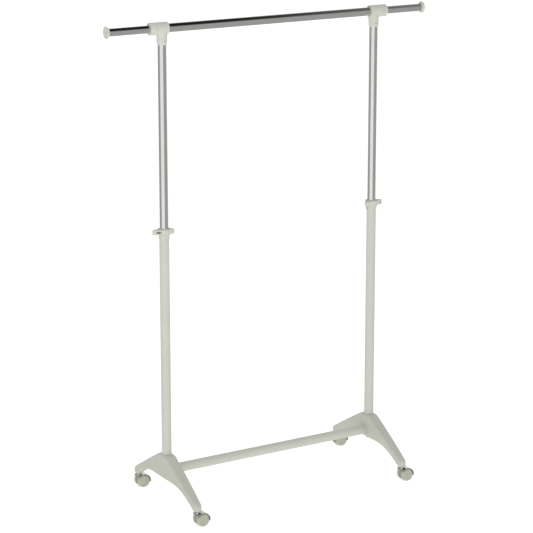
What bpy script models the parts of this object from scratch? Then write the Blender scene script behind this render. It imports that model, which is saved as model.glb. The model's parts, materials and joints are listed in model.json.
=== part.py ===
"""Rolling clothes rack: two wishbone feet on twin-wheel casters, telescoping posts and a telescoping bar.

Metres, +Z up, +X along the hanging bar, -Y to the front. The origin is on the floor, under the middle.
"""

import math

import bmesh
import bpy
from mathutils import Matrix, Vector

MM = 0.001

# Driving dimensions, in millimetres.
POST_X = 358.0
BAR_Z = 1424.0
CROSSBAR_Z = 112.0
FIT = 0.3
OVERRUN = 5.0

# Tubes: radii.
LOWER_TUBE_R = 14.3
LOWER_TUBE_INNER_R = 13.3
UPPER_TUBE_R = 12.7
UPPER_TUBE_INNER_R = 11.7
EXTENSION_R = 11.1
EXTENSION_INNER_R = 10.1
TUBE_SEGMENTS = 28
HOLE_SEGMENTS = 16
SCREW_SEGMENTS = 12

# Feet: a wishbone in the YZ plane.
FOOT_TOP_Z = 163.0
FOOT_UNDER_Z = 90.0
FOOT_HALF_WIDTH = 18.0
SHOULDER_Y = 21.0
TIP_Y = 195.0
TIP_TOP_Z = 63.0
TIP_UNDER_Z = 44.0
TIP_HALF_WIDTH = 10.5
TIP_ROUND_Y = 9.0
TIP_ROUND_Z = 7.0
ARCH_FLAT_Y = 60.0
ARCH_END_Y = 176.0
ARCH_POWER = 1.9
ARM_STEPS = 6
TIP_STEPS = 3
TIP_TURN = math.radians(72.0)
FOOT_EDGE_R = 6.5
FOOT_EDGE_SHARE = 0.8
SHOULDER_STATIONS = (0.0, 0.8, 1.2)
CORNER_STEPS = 3

# Joint between foot, crossbar and post.
POST_BOTTOM_Z = 131.4
POST_SOCKET_Z = 131.0
CROSSBAR_END_X = 368.0
BOLT_R = 4.0
BOLT_HEAD_R = 7.2
BOLT_HEAD_HEIGHT = 5.6
BOLT_EDGE = 1.0
BOLT_TOP_Z = 149.0
HEX_KEY_R = 3.4
HEX_KEY_DEPTH = 3.2
INSERT_TOP_Z = 151.0

# Height lock at the top of each lower post.
COLLAR_BOTTOM_Z = 829.3
COLLAR_HEIGHT = 16.0
COLLAR_R = 19.0
COLLAR_BORE_R = 16.4
OUTER_WING_REACH = 37.5
INNER_WING_REACH = 30.0
INNER_WING_TURN = math.radians(20.0)
WING_TIP_R = 6.5
WING_HEIGHT = 14.0
WING_ROOT_R = 16.0
WING_TIP_STEPS = 8
COLLAR_EDGE = 1.0
COLLAR_EDGE_HEIGHT = 1.6
WING_SLOT_SPANS = {"left": (15.0, 28.5), "right": (27.0, 42.0)}
WING_SLOT_BACK_Y = -4.0
WING_SLOT_HEIGHT = 5.0
BUSH_SKIRT_R = 15.6
BUSH_SKIRT_BOTTOM_Z = 816.0
BUSH_SEAT_R = 17.0
BUSH_SEAT_HEIGHT = 2.0
BUSH_SEAT_TAPER = 1.0
BUSH_JAW_R = 16.0
BUSH_TOP_Z = 847.0
LOWER_POST_TOP_Z = 826.0
JAW_SLITS = 4
JAW_SLIT_WIDTH = 1.6
JAW_SLIT_FROM_R = 8.0
JAW_SLIT_RISE = 2.0
BUSH_TAPER = 0.5
BUSH_TAPER_HEIGHT = 1.0
BUSH_EDGE = 1.0
KEY_SLOT_WIDTH = 4.0
KEY_SLOT_FROM_R = 10.0
KEY_SLOT_TO_R = 22.0
KEY_SLOT_BOTTOM_Z = 818.5
BUSH_KEY_SLOT_BOTTOM_Z = 810.5
KEY_SLOT_TOP_Z = 828.6

# Upper posts.
UPPER_POST_BOTTOM_Z = 695.0
UPPER_POST_TOP_Z = 1406.4
SLIDE_PLUG_R = 13.0
SLIDE_PLUG_HEIGHT = 12.0
SLIDE_PLUG_SPIGOT = 15.0
SLIDE_PLUG_BORE_R = 8.0
SLIDE_PLUG_EDGE = 1.0

# Tee fittings, about the post's axis and the bar's axis.
TEE_OUTER = 41.0
TEE_INNER = 17.0
TEE_BARREL_R = 17.8
TEE_CHAMFER = 1.4
TEE_STEM_R = 15.0
TEE_STEM_FOOT_R = 13.9
TEE_STEM_TAPER = 9.0
TEE_STEM_BOTTOM = 47.0
TEE_STOP = 5.0
TEE_STEM_BORE_TOP = 17.2
BAR_SCREW_OUT = 24.0
POST_SCREW_DOWN = 36.0
SCREW_HEAD_R = 3.1
SCREW_HEAD_HEIGHT = 1.5
SCREW_HEAD_EDGE = 1.0
SCREW_SHANK_R = 1.6
SCREW_HOLE_DEPTH = 12.0
POST_SCREW_LENGTH = 6.0
RECESS_HALF_LENGTH = 1.8
RECESS_HALF_WIDTH = 0.35
RECESS_DEPTH = 0.7

# Hanging bar.
EXTENSION_INNER_X = 150.0
EXTENSION_OUTER_X = 530.0
GUIDE_LENGTH = 16.0
GUIDE_HEAD = 5.0
GUIDE_R = 11.4
GUIDE_EDGE = 0.6
GUIDE_BORE_R = 6.0
CAP_R = 17.4
CAP_FLANGE_X = 530.0
CAP_OUTER_X = 533.5
CAP_NECK_X = 526.0
CAP_NECK_R = 12.9
CAP_SHOULDER_R = 15.2
CAP_SHOULDER = 1.0
CAP_EDGE = 1.2
CAP_EDGE_SHARE = 0.3

# Casters, about the stem's axis.
STEM_Y = 184.0
WHEEL_R = 19.5
TRAIL = 11.5
WHEEL_INNER_Y = 4.5
WHEEL_OUTER_Y = 19.0
WHEEL_SHOULDER = ((5.0, 0.6), (1.4, 2.4), (0.0, 5.0))
WHEEL_EDGE = 1.5
WHEEL_SEGMENTS = 24
AXLE_R = 2.0
AXLE_HALF = 16.6
HOOD_INNER_R = 20.3
HOOD_OUTER_R = 22.0
HOOD_HALF = 18.4
HOOD_FROM = math.radians(-12.0)
HOOD_TO = math.radians(142.0)
HOOD_STEPS = 10
WEB_HALF = 4.0
WEB_TO = math.radians(178.0)
WEB_OVERLAP = 0.8
WEB_STEP = 2.4
WEB_INSET = 0.1
WEB_TAIL_STEPS = 3
WEB_HUB_R = 6.5
WEB_HUB_TO = math.tau - 0.3
WEB_HUB_STEPS = 6
BOSS_R = 7.0
BOSS_BOTTOM_Z = 38.4
BOSS_TOP_Z = 41.5
STEM_FLANGE_TOP_Z = 43.6
STEM_R = 4.0
STEM_EDGE = 1.0
STEM_TAIL_R = 2.4
STEM_TAIL_Z = 27.0
STEM_TOP_Z = 57.0
SOCKET_R = 5.6
SOCKET_TOP_Z = 58.0

SIDES = {"left": -1, "right": 1}
ENDS = {"front": -1, "back": 1}

X_AXIS = Matrix.Rotation(math.pi / 2, 4, "Y")
Y_AXIS = Matrix.Rotation(-math.pi / 2, 4, "X")
Z_AXIS = Matrix.Identity(4)
HALF_STEP = Matrix.Rotation(math.pi / TUBE_SEGMENTS, 4, "Z")


def clear_scene():
    for obj in list(bpy.data.objects):
        bpy.data.objects.remove(obj)


def linear(value):
    return value / 12.92 if value <= 0.04045 else ((value + 0.055) / 1.055) ** 2.4


def material(name, hex_colour, roughness, metallic):
    made = bpy.data.materials.new(name)
    made.use_nodes = True
    channels = [int(hex_colour[i : i + 2], 16) / 255 for i in (1, 3, 5)]
    shader = made.node_tree.nodes["Principled BSDF"]
    shader.inputs["Base Color"].default_value = [linear(c) for c in channels] + [1.0]
    shader.inputs["Roughness"].default_value = roughness
    shader.inputs["Metallic"].default_value = metallic
    return made


def painted_steel(name):
    return material(name, "#cdcfc6", 0.42, 0.0)


def moulded_foot(name):
    return material(name, "#c8c9bf", 0.45, 0.0)


def chrome(name):
    return material(name, "#d8d8d6", 0.08, 1.0)


def moulded_plastic(name):
    return material(name, "#d8d9cf", 0.4, 0.0)


def hidden_plastic(name):
    return material(name, "#3a3a3a", 0.6, 0.0)


def zinc(name):
    return material(name, "#b9bbbd", 0.35, 1.0)


def wheel_plastic(name):
    return material(name, "#b5b5a5", 0.45, 0.0)


def mesh_object(name, shape, sharp_angle=35.0):
    """An object in the scene from a bmesh in millimetres, with its normals turned out."""
    bmesh.ops.recalc_face_normals(shape, faces=shape.faces)
    bmesh.ops.scale(shape, vec=(MM, MM, MM), verts=shape.verts)
    mesh = bpy.data.meshes.new(name)
    shape.to_mesh(mesh)
    shape.free()
    mesh.shade_smooth()
    mesh.set_sharp_from_angle(angle=math.radians(sharp_angle))
    obj = bpy.data.objects.new(name, mesh)
    bpy.context.scene.collection.objects.link(obj)
    return obj


def part(name, shape, finish, at=(0.0, 0.0, 0.0)):
    obj = mesh_object(name, shape)
    obj.data.materials.append(finish(name))
    obj.location = Vector(at) * MM
    return obj


def helper(name, shape):
    obj = mesh_object(name, shape)
    obj.hide_render = True
    obj.display_type = "WIRE"
    return obj


def combine(obj, operation, shape, name):
    """Adds a Boolean with a helper that shares the object's origin."""
    other = helper(f"{obj.name}_{name}", shape)
    other.location = obj.location
    modifier = obj.modifiers.new(name, "BOOLEAN")
    modifier.operation = operation
    modifier.solver = "EXACT"
    modifier.object = other


def cut(obj, shape, name):
    combine(obj, "DIFFERENCE", shape, name)


def join(obj, shape, name):
    combine(obj, "UNION", shape, name)


def turned(profile, segments=TUBE_SEGMENTS, axis=Z_AXIS, at=(0.0, 0.0, 0.0)):
    """A bmesh turned from (radius, height) points about an axis. Ends at radius 0 close on the axis."""
    shape = bmesh.new()
    points = [shape.verts.new((radius, 0.0, height)) for radius, height in profile]
    edges = [shape.edges.new(pair) for pair in zip(points, points[1:])]
    if profile[0][0] > 0.0:
        edges.append(shape.edges.new((points[-1], points[0])))
    bmesh.ops.spin(
        shape,
        geom=points + edges,
        cent=(0.0, 0.0, 0.0),
        axis=(0.0, 0.0, 1.0),
        angle=math.tau,
        steps=segments,
        use_merge=True,
    )
    bmesh.ops.remove_doubles(shape, verts=shape.verts, dist=1e-4)
    bmesh.ops.transform(shape, matrix=Matrix.Translation(at) @ axis, verts=shape.verts)
    return shape


def tube(outer, inner, start, end, axis=Z_AXIS, at=(0.0, 0.0, 0.0)):
    profile = [(inner, start), (outer, start), (outer, end), (inner, end)]
    return turned(profile, axis=axis, at=at)


def rod(radius, start, end, segments=HOLE_SEGMENTS, axis=Z_AXIS, at=(0.0, 0.0, 0.0)):
    profile = [(0.0, start), (radius, start), (radius, end), (0.0, end)]
    return turned(profile, segments, axis, at)


def block(low, high):
    """A bmesh box between two corners."""
    shape = bmesh.new()
    bmesh.ops.create_cube(shape, size=1.0)
    size = Vector(high) - Vector(low)
    bmesh.ops.scale(shape, vec=size, verts=shape.verts)
    bmesh.ops.translate(shape, vec=Vector(low) + size / 2, verts=shape.verts)
    return shape


def extruded(outline, direction):
    """A bmesh of a closed flat outline, extruded along a direction."""
    shape = bmesh.new()
    face = shape.faces.new([shape.verts.new(point) for point in outline])
    made = bmesh.ops.extrude_face_region(shape, geom=[face])
    moved = [item for item in made["geom"] if isinstance(item, bmesh.types.BMVert)]
    bmesh.ops.translate(shape, vec=direction, verts=moved)
    return shape


def arc(radius, start, end, steps):
    angles = [start + (end - start) * i / steps for i in range(steps + 1)]
    return [(radius * math.cos(angle), radius * math.sin(angle)) for angle in angles]


# Feet


def round_off(distance, length, depth):
    """How far a quarter ellipse has dropped at a distance into its length."""
    share = min(max(distance / length, 0.0), 1.0)
    return depth * (1.0 - math.sqrt(1.0 - share**2))


def foot_top(y):
    slope = (FOOT_TOP_Z - TIP_TOP_Z) / (TIP_Y - SHOULDER_Y)
    past = y - SHOULDER_Y
    softened = (past + math.hypot(past, SHOULDER_Y / 4)) / 2
    return FOOT_TOP_Z - slope * softened - round_off(y - TIP_Y + TIP_ROUND_Z, TIP_ROUND_Z, TIP_ROUND_Z)


def foot_under(y):
    share = min(max((y - ARCH_FLAT_Y) / (ARCH_END_Y - ARCH_FLAT_Y), 0.0), 1.0)
    return FOOT_UNDER_Z - (FOOT_UNDER_Z - TIP_UNDER_Z) * share**ARCH_POWER


def foot_half_width(y):
    swell = (FOOT_HALF_WIDTH - TIP_HALF_WIDTH) * (1.0 - (y / TIP_Y) ** 2)
    tip = round_off(y - TIP_Y + TIP_ROUND_Y, TIP_ROUND_Y, TIP_HALF_WIDTH)
    return TIP_HALF_WIDTH + swell - tip


def rounded_section(half_width, low, high, corner):
    """(x, z) points of a rounded rectangle, counterclockwise from its right side."""
    corner = min(corner, half_width * FOOT_EDGE_SHARE)
    points = []
    for quarter, (side_x, side_z) in enumerate(((1, 1), (-1, 1), (-1, -1), (1, -1))):
        centre_x = side_x * (half_width - corner)
        centre_z = high - corner if side_z > 0 else low + corner
        start = quarter * math.pi / 2
        for x, z in arc(corner, start, start + math.pi / 2, CORNER_STEPS):
            points.append((centre_x + x, centre_z + z))
    return points


def foot_stations():
    """Distances from the middle, closer together towards the rounded tip."""
    shoulder = [SHOULDER_Y * share for share in SHOULDER_STATIONS]
    arm = [ARCH_FLAT_Y + (ARCH_END_Y - ARCH_FLAT_Y) * i / ARM_STEPS for i in range(ARM_STEPS + 1)]
    turns = [TIP_TURN * i / TIP_STEPS for i in range(TIP_STEPS + 1)]
    tip = [TIP_Y - TIP_ROUND_Y * (1.0 - math.sin(turn)) for turn in turns]
    return shoulder + arm + tip


def foot_body():
    stations = foot_stations()
    along = [-y for y in reversed(stations[1:])] + stations
    shape = bmesh.new()
    loops = []
    for y in along:
        away = abs(y)
        section = rounded_section(foot_half_width(away), foot_under(away), foot_top(away), FOOT_EDGE_R)
        loops.append([shape.verts.new((x, y, z)) for x, z in section])
    count = len(loops[0])
    for first, second in zip(loops, loops[1:]):
        for i in range(count):
            following = (i + 1) % count
            shape.faces.new((first[i], first[following], second[following], second[i]))
    shape.faces.new(loops[0])
    shape.faces.new(loops[-1])
    return shape


def make_foot(side, sign):
    foot = part(f"foot_{side}", foot_body(), moulded_foot, (sign * POST_X, 0.0, 0.0))
    socket_r = LOWER_TUBE_R + FIT
    cut(foot, rod(socket_r, POST_SOCKET_Z, FOOT_TOP_Z + OVERRUN, TUBE_SEGMENTS), "post_socket")
    crossbar_socket = rod(socket_r, -FOOT_HALF_WIDTH - OVERRUN, CROSSBAR_END_X - POST_X + FIT, TUBE_SEGMENTS, X_AXIS)
    bmesh.ops.scale(crossbar_socket, vec=(sign, 1.0, 1.0), verts=crossbar_socket.verts)
    bmesh.ops.translate(crossbar_socket, vec=(0.0, 0.0, CROSSBAR_Z), verts=crossbar_socket.verts)
    cut(foot, crossbar_socket, "crossbar_socket")
    cut(foot, rod(BOLT_R + FIT, FOOT_UNDER_Z - OVERRUN, POST_SOCKET_Z + OVERRUN), "bolt_hole")
    for end, way in ENDS.items():
        hole = rod(SOCKET_R + FIT, TIP_UNDER_Z - OVERRUN, SOCKET_TOP_Z + FIT, at=(0.0, way * STEM_Y, 0.0))
        cut(foot, hole, f"{end}_stem_hole")


def make_frame_bolt(side, sign):
    head_top = FOOT_UNDER_Z - FIT
    profile = [
        (0.0, head_top - BOLT_HEAD_HEIGHT),
        (BOLT_HEAD_R - BOLT_EDGE, head_top - BOLT_HEAD_HEIGHT),
        (BOLT_HEAD_R, head_top - BOLT_HEAD_HEIGHT + BOLT_EDGE),
        (BOLT_HEAD_R, head_top),
        (BOLT_R, head_top),
        (BOLT_R, BOLT_TOP_Z - BOLT_EDGE),
        (BOLT_R - BOLT_EDGE, BOLT_TOP_Z),
        (0.0, BOLT_TOP_Z),
    ]
    bolt = part(f"frame_bolt_{side}", turned(profile, HOLE_SEGMENTS), zinc, (sign * POST_X, 0.0, 0.0))
    key = rod(HEX_KEY_R, -OVERRUN, HEX_KEY_DEPTH, 6, at=(0.0, 0.0, head_top - BOLT_HEAD_HEIGHT))
    cut(bolt, key, "hex_key_recess")


# Posts


def make_lower_post(side, sign):
    shape = tube(LOWER_TUBE_R, LOWER_TUBE_INNER_R, POST_BOTTOM_Z, LOWER_POST_TOP_Z)
    post = part(f"lower_post_{side}", shape, painted_steel, (sign * POST_X, 0.0, 0.0))
    cut(post, key_slot(sign, KEY_SLOT_BOTTOM_Z), "key_slot")


def key_slot(sign, bottom):
    """The keyway on the inboard side, open at the tube's top."""
    half = KEY_SLOT_WIDTH / 2
    inboard = sorted((-sign * KEY_SLOT_FROM_R, -sign * KEY_SLOT_TO_R))
    return block((inboard[0], -half, bottom), (inboard[1], half, KEY_SLOT_TOP_Z))


def make_post_insert(side, sign):
    start = POST_BOTTOM_Z + FIT
    shape = tube(LOWER_TUBE_INNER_R - FIT, BOLT_R + FIT, start, INSERT_TOP_Z)
    part(f"post_insert_{side}", shape, zinc, (sign * POST_X, 0.0, 0.0))


def make_grip_bush(side, sign):
    """A stepped sleeve: its skirt caps the painted tube, and its split jaws grip the chrome one."""
    skirt_inner = LOWER_TUBE_R + FIT
    jaw_inner = UPPER_TUBE_R + FIT
    step = LOWER_POST_TOP_Z + FIT
    skirt_top = COLLAR_BOTTOM_Z - FIT
    profile = [
        (skirt_inner, BUSH_SKIRT_BOTTOM_Z),
        (BUSH_SKIRT_R - BUSH_TAPER, BUSH_SKIRT_BOTTOM_Z),
        (BUSH_SKIRT_R, BUSH_SKIRT_BOTTOM_Z + BUSH_TAPER_HEIGHT),
        (BUSH_SKIRT_R, skirt_top - BUSH_SEAT_HEIGHT - BUSH_SEAT_TAPER),
        (BUSH_SEAT_R, skirt_top - BUSH_SEAT_HEIGHT),
        (BUSH_SEAT_R, skirt_top),
        (BUSH_JAW_R, skirt_top),
        (BUSH_JAW_R, BUSH_TOP_Z - BUSH_EDGE),
        (BUSH_JAW_R - BUSH_EDGE, BUSH_TOP_Z),
        (jaw_inner, BUSH_TOP_Z),
        (jaw_inner, step),
        (skirt_inner, step),
    ]
    bush = part(f"grip_bush_{side}", turned(profile), moulded_plastic, (sign * POST_X, 0.0, 0.0))
    cut(bush, key_slot(sign, BUSH_KEY_SLOT_BOTTOM_Z), "key_slot")
    half = JAW_SLIT_WIDTH / 2
    slit_low = (JAW_SLIT_FROM_R, -half, COLLAR_BOTTOM_Z + JAW_SLIT_RISE)
    slit_high = (BUSH_JAW_R + OVERRUN, half, BUSH_TOP_Z + OVERRUN)
    for i in range(JAW_SLITS):
        slit = block(slit_low, slit_high)
        turn = Matrix.Rotation(math.tau * (i + 0.5) / JAW_SLITS, 4, "Z")
        bmesh.ops.transform(slit, matrix=turn, verts=slit.verts)
        cut(bush, slit, f"jaw_slit_{i + 1}")


def wing(reach, turn):
    """A lobe from the collar's ring to a rounded tip: the common tangents of two circles, extruded."""
    tip_at = reach - WING_TIP_R
    lean = math.acos((WING_ROOT_R - WING_TIP_R) / tip_at)
    low = COLLAR_BOTTOM_Z + (COLLAR_HEIGHT - WING_HEIGHT) / 2
    tip = [(tip_at + x, y) for x, y in arc(WING_TIP_R, -lean, lean, WING_TIP_STEPS)]
    root = [(WING_ROOT_R * math.cos(lean), WING_ROOT_R * math.sin(lean)), (COLLAR_BORE_R * math.cos(lean), 0.0)]
    root.append((root[0][0], -root[0][1]))
    shape = extruded([(x, y, low) for x, y in tip + root], (0.0, 0.0, WING_HEIGHT))
    bmesh.ops.transform(shape, matrix=Matrix.Rotation(turn, 4, "Z"), verts=shape.verts)
    return shape


def make_lock_collar(side, sign):
    bottom = COLLAR_BOTTOM_Z
    top = bottom + COLLAR_HEIGHT
    profile = [
        (0.0, bottom),
        (COLLAR_R - COLLAR_EDGE, bottom),
        (COLLAR_R, bottom + COLLAR_EDGE_HEIGHT),
        (COLLAR_R, top - COLLAR_EDGE_HEIGHT),
        (COLLAR_R - COLLAR_EDGE, top),
        (0.0, top),
    ]
    ring = turned(profile, axis=HALF_STEP)
    collar = part(f"lock_collar_{side}", ring, moulded_plastic, (sign * POST_X, 0.0, 0.0))
    outward = 0.0 if sign > 0 else math.pi
    inward = math.pi + INNER_WING_TURN if sign > 0 else -INNER_WING_TURN
    join(collar, wing(OUTER_WING_REACH, outward), "outer_wing")
    join(collar, wing(INNER_WING_REACH, inward), "inner_wing")
    cut(collar, rod(COLLAR_BORE_R, bottom - OVERRUN, top + OVERRUN, TUBE_SEGMENTS), "bore")
    middle = bottom + COLLAR_HEIGHT / 2
    slot_x = sorted(sign * x for x in WING_SLOT_SPANS[side])
    half = WING_SLOT_HEIGHT / 2
    slot = block((slot_x[0], -COLLAR_R - OVERRUN, middle - half), (slot_x[1], WING_SLOT_BACK_Y, middle + half))
    cut(collar, slot, "finger_slot")


def screw_hole(at, axis):
    return rod(SCREW_SHANK_R + FIT, -OVERRUN, SCREW_HOLE_DEPTH, SCREW_SEGMENTS, axis, at)


def make_upper_post(side, sign):
    shape = tube(UPPER_TUBE_R, UPPER_TUBE_INNER_R, UPPER_POST_BOTTOM_Z, UPPER_POST_TOP_Z)
    post = part(f"upper_post_{side}", shape, chrome, (sign * POST_X, 0.0, 0.0))
    cut(post, screw_hole((0.0, -TEE_STEM_R, BAR_Z - POST_SCREW_DOWN), Y_AXIS), "screw_hole")


def make_slide_plug(side, sign):
    seat = UPPER_POST_BOTTOM_Z - FIT
    profile = [
        (SLIDE_PLUG_BORE_R, seat - SLIDE_PLUG_HEIGHT),
        (SLIDE_PLUG_R - SLIDE_PLUG_EDGE, seat - SLIDE_PLUG_HEIGHT),
        (SLIDE_PLUG_R, seat - SLIDE_PLUG_HEIGHT + SLIDE_PLUG_EDGE),
        (SLIDE_PLUG_R, seat),
        (UPPER_TUBE_INNER_R - FIT, seat),
        (UPPER_TUBE_INNER_R - FIT, seat + SLIDE_PLUG_SPIGOT),
        (SLIDE_PLUG_BORE_R, seat + SLIDE_PLUG_SPIGOT),
    ]
    part(f"slide_plug_{side}", turned(profile, HOLE_SEGMENTS), hidden_plastic, (sign * POST_X, 0.0, 0.0))


# Tee fittings and the bar


def make_tee(side, sign):
    """A barrel round the bar, longer outboard, on a stem that caps the post."""
    origin = (sign * POST_X, 0.0, BAR_Z)
    barrel_profile = [
        (0.0, -TEE_INNER),
        (TEE_BARREL_R - TEE_CHAMFER, -TEE_INNER),
        (TEE_BARREL_R, -TEE_INNER + TEE_CHAMFER),
        (TEE_BARREL_R, TEE_OUTER - TEE_CHAMFER),
        (TEE_BARREL_R - TEE_CHAMFER, TEE_OUTER),
        (0.0, TEE_OUTER),
    ]
    barrel = turned(barrel_profile, axis=X_AXIS)
    bmesh.ops.scale(barrel, vec=(sign, 1.0, 1.0), verts=barrel.verts)
    tee = part(f"bar_tee_{side}", barrel, moulded_plastic, origin)
    stem_profile = [
        (0.0, -TEE_STEM_BOTTOM),
        (TEE_STEM_FOOT_R, -TEE_STEM_BOTTOM),
        (TEE_STEM_R, -TEE_STEM_BOTTOM + TEE_STEM_TAPER),
        (TEE_STEM_R, 0.0),
        (0.0, 0.0),
    ]
    join(tee, turned(stem_profile, axis=HALF_STEP), "stem")
    bar_screw_at = (sign * BAR_SCREW_OUT, -TEE_BARREL_R, 0.0)
    cut(tee, screw_hole(bar_screw_at, Y_AXIS), "bar_screw_hole")
    cut(tee, screw_hole((0.0, -TEE_STEM_R, -POST_SCREW_DOWN), Y_AXIS), "post_screw_hole")
    bar_bore = rod(UPPER_TUBE_R + FIT, -TEE_INNER - OVERRUN, TEE_OUTER - TEE_STOP, TUBE_SEGMENTS, X_AXIS)
    extension_bore = rod(EXTENSION_R + FIT, 0.0, TEE_OUTER + OVERRUN, TUBE_SEGMENTS, X_AXIS)
    for name, bore in (("bar_bore", bar_bore), ("extension_bore", extension_bore)):
        bmesh.ops.scale(bore, vec=(sign, 1.0, 1.0), verts=bore.verts)
        cut(tee, bore, name)
    post_bore = rod(UPPER_TUBE_R + FIT, -TEE_STEM_BOTTOM - OVERRUN, -TEE_STEM_BORE_TOP, TUBE_SEGMENTS, HALF_STEP)
    cut(tee, post_bore, "post_bore")


def screw(length):
    """A pan-head screw along +Y from its head's seat, with a cross recess."""
    profile = [
        (0.0, -SCREW_HEAD_HEIGHT),
        (SCREW_HEAD_R - SCREW_HEAD_EDGE, -SCREW_HEAD_HEIGHT),
        (SCREW_HEAD_R, -SCREW_HEAD_HEIGHT + SCREW_HEAD_EDGE),
        (SCREW_HEAD_R, 0.0),
        (SCREW_SHANK_R, 0.0),
        (SCREW_SHANK_R, length),
        (0.0, length),
    ]
    return turned(profile, SCREW_SEGMENTS, Y_AXIS)


def cross_recess(obj):
    front = -SCREW_HEAD_HEIGHT - OVERRUN
    back = -SCREW_HEAD_HEIGHT + RECESS_DEPTH
    long_half, short_half = RECESS_HALF_LENGTH, RECESS_HALF_WIDTH
    for name, half_x, half_z in (("recess_across", long_half, short_half), ("recess_down", short_half, long_half)):
        cut(obj, block((-half_x, front, -half_z), (half_x, back, half_z)), name)


def make_screws(side, sign):
    bar_at = (sign * (POST_X + BAR_SCREW_OUT), -TEE_BARREL_R - FIT, BAR_Z)
    bar_length = TEE_BARREL_R - EXTENSION_R - FIT
    cross_recess(part(f"bar_screw_{side}", screw(bar_length), zinc, bar_at))
    post_at = (sign * POST_X, -TEE_STEM_R - FIT, BAR_Z - POST_SCREW_DOWN)
    cross_recess(part(f"post_screw_{side}", screw(POST_SCREW_LENGTH), zinc, post_at))


def make_main_bar():
    end = POST_X + TEE_OUTER - TEE_STOP - FIT
    bar = part("main_bar", tube(UPPER_TUBE_R, UPPER_TUBE_INNER_R, -end, end, X_AXIS), chrome, (0.0, 0.0, BAR_Z))
    for side, sign in SIDES.items():
        at = (sign * (POST_X + BAR_SCREW_OUT), -TEE_BARREL_R, 0.0)
        cut(bar, screw_hole(at, Y_AXIS), f"{side}_screw_hole")


def along_bar(profile, sign, segments=TUBE_SEGMENTS):
    """A shape turned about the bar from (radius, distance from the middle) points, on one side."""
    shape = turned(profile, segments, X_AXIS)
    bmesh.ops.scale(shape, vec=(sign, 1.0, 1.0), verts=shape.verts)
    return shape


def make_extension(side, sign):
    at = (0.0, 0.0, BAR_Z)
    ends = (EXTENSION_INNER_X, EXTENSION_OUTER_X)
    profile = [(EXTENSION_INNER_R, ends[0]), (EXTENSION_R, ends[0])]
    profile += [(EXTENSION_R, ends[1]), (EXTENSION_INNER_R, ends[1])]
    part(f"extension_bar_{side}", along_bar(profile, sign), chrome, at)
    seat = EXTENSION_INNER_X - FIT
    guide = [
        (GUIDE_BORE_R, seat - GUIDE_HEAD),
        (GUIDE_R - GUIDE_EDGE, seat - GUIDE_HEAD),
        (GUIDE_R, seat - GUIDE_HEAD + GUIDE_EDGE),
        (GUIDE_R, seat),
        (EXTENSION_INNER_R - FIT, seat),
        (EXTENSION_INNER_R - FIT, seat + GUIDE_LENGTH),
        (GUIDE_BORE_R, seat + GUIDE_LENGTH),
    ]
    part(f"bar_guide_{side}", along_bar(guide, sign, HOLE_SEGMENTS), hidden_plastic, at)
    bore = EXTENSION_R + FIT
    bore_end = EXTENSION_OUTER_X + FIT
    cap = [
        (0.0, bore_end),
        (bore, bore_end),
        (bore, CAP_NECK_X),
        (CAP_NECK_R, CAP_NECK_X),
        (CAP_SHOULDER_R, CAP_FLANGE_X - CAP_SHOULDER),
        (CAP_R - CAP_EDGE, CAP_FLANGE_X),
        (CAP_R, CAP_FLANGE_X + CAP_EDGE),
        (CAP_R, CAP_OUTER_X - CAP_EDGE),
        (CAP_R - CAP_EDGE * CAP_EDGE_SHARE, CAP_OUTER_X - CAP_EDGE * CAP_EDGE_SHARE),
        (CAP_R - CAP_EDGE, CAP_OUTER_X),
        (0.0, CAP_OUTER_X),
    ]
    part(f"end_cap_{side}", along_bar(cap, sign), moulded_plastic, at)


def make_crossbar():
    shape = tube(LOWER_TUBE_R, LOWER_TUBE_INNER_R, -CROSSBAR_END_X, CROSSBAR_END_X, X_AXIS)
    crossbar = part("crossbar", shape, painted_steel, (0.0, 0.0, CROSSBAR_Z))
    for side, sign in SIDES.items():
        reach = LOWER_TUBE_R + OVERRUN
        cut(crossbar, rod(BOLT_R + FIT, -reach, reach, at=(sign * POST_X, 0.0, 0.0)), f"{side}_bolt_hole")


# Casters


def hood_outline():
    """(x, z) of the arched shell over both wheels, about the axle."""
    outside = arc(HOOD_OUTER_R, HOOD_FROM, HOOD_TO, HOOD_STEPS)
    return outside + list(reversed(arc(HOOD_INNER_R, HOOD_FROM, HOOD_TO, HOOD_STEPS)))


def web_outline():
    """(x, z) of the middle plate: a fan under the shell, down to a hub round the axle."""
    rim = HOOD_INNER_R + WEB_OVERLAP
    fan = arc(rim, HOOD_FROM + WEB_INSET, HOOD_TO, HOOD_STEPS)
    tail = arc(rim - WEB_STEP, HOOD_TO + WEB_INSET, WEB_TO, WEB_TAIL_STEPS)
    return fan + tail + arc(WEB_HUB_R, math.pi, WEB_HUB_TO, WEB_HUB_STEPS)


def plate(outline, half_width):
    points = [(TRAIL + x, -half_width, WHEEL_R + z) for x, z in outline]
    return extruded(points, (0.0, 2.0 * half_width, 0.0))


def make_hood(name, at):
    hood = part(f"{name}_hood", plate(hood_outline(), HOOD_HALF), chrome, at)
    join(hood, plate(web_outline(), WEB_HALF), "web")
    join(hood, rod(BOSS_R, BOSS_BOTTOM_Z, BOSS_TOP_Z), "boss")
    cut(hood, rod(STEM_TAIL_R + FIT, STEM_TAIL_Z - FIT, BOSS_TOP_Z + OVERRUN, SCREW_SEGMENTS), "stem_hole")
    axle_hole = rod(AXLE_R + FIT, -WEB_HALF - OVERRUN, WEB_HALF + OVERRUN, SCREW_SEGMENTS, Y_AXIS, (TRAIL, 0.0, WHEEL_R))
    cut(hood, axle_hole, "axle_hole")


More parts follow.
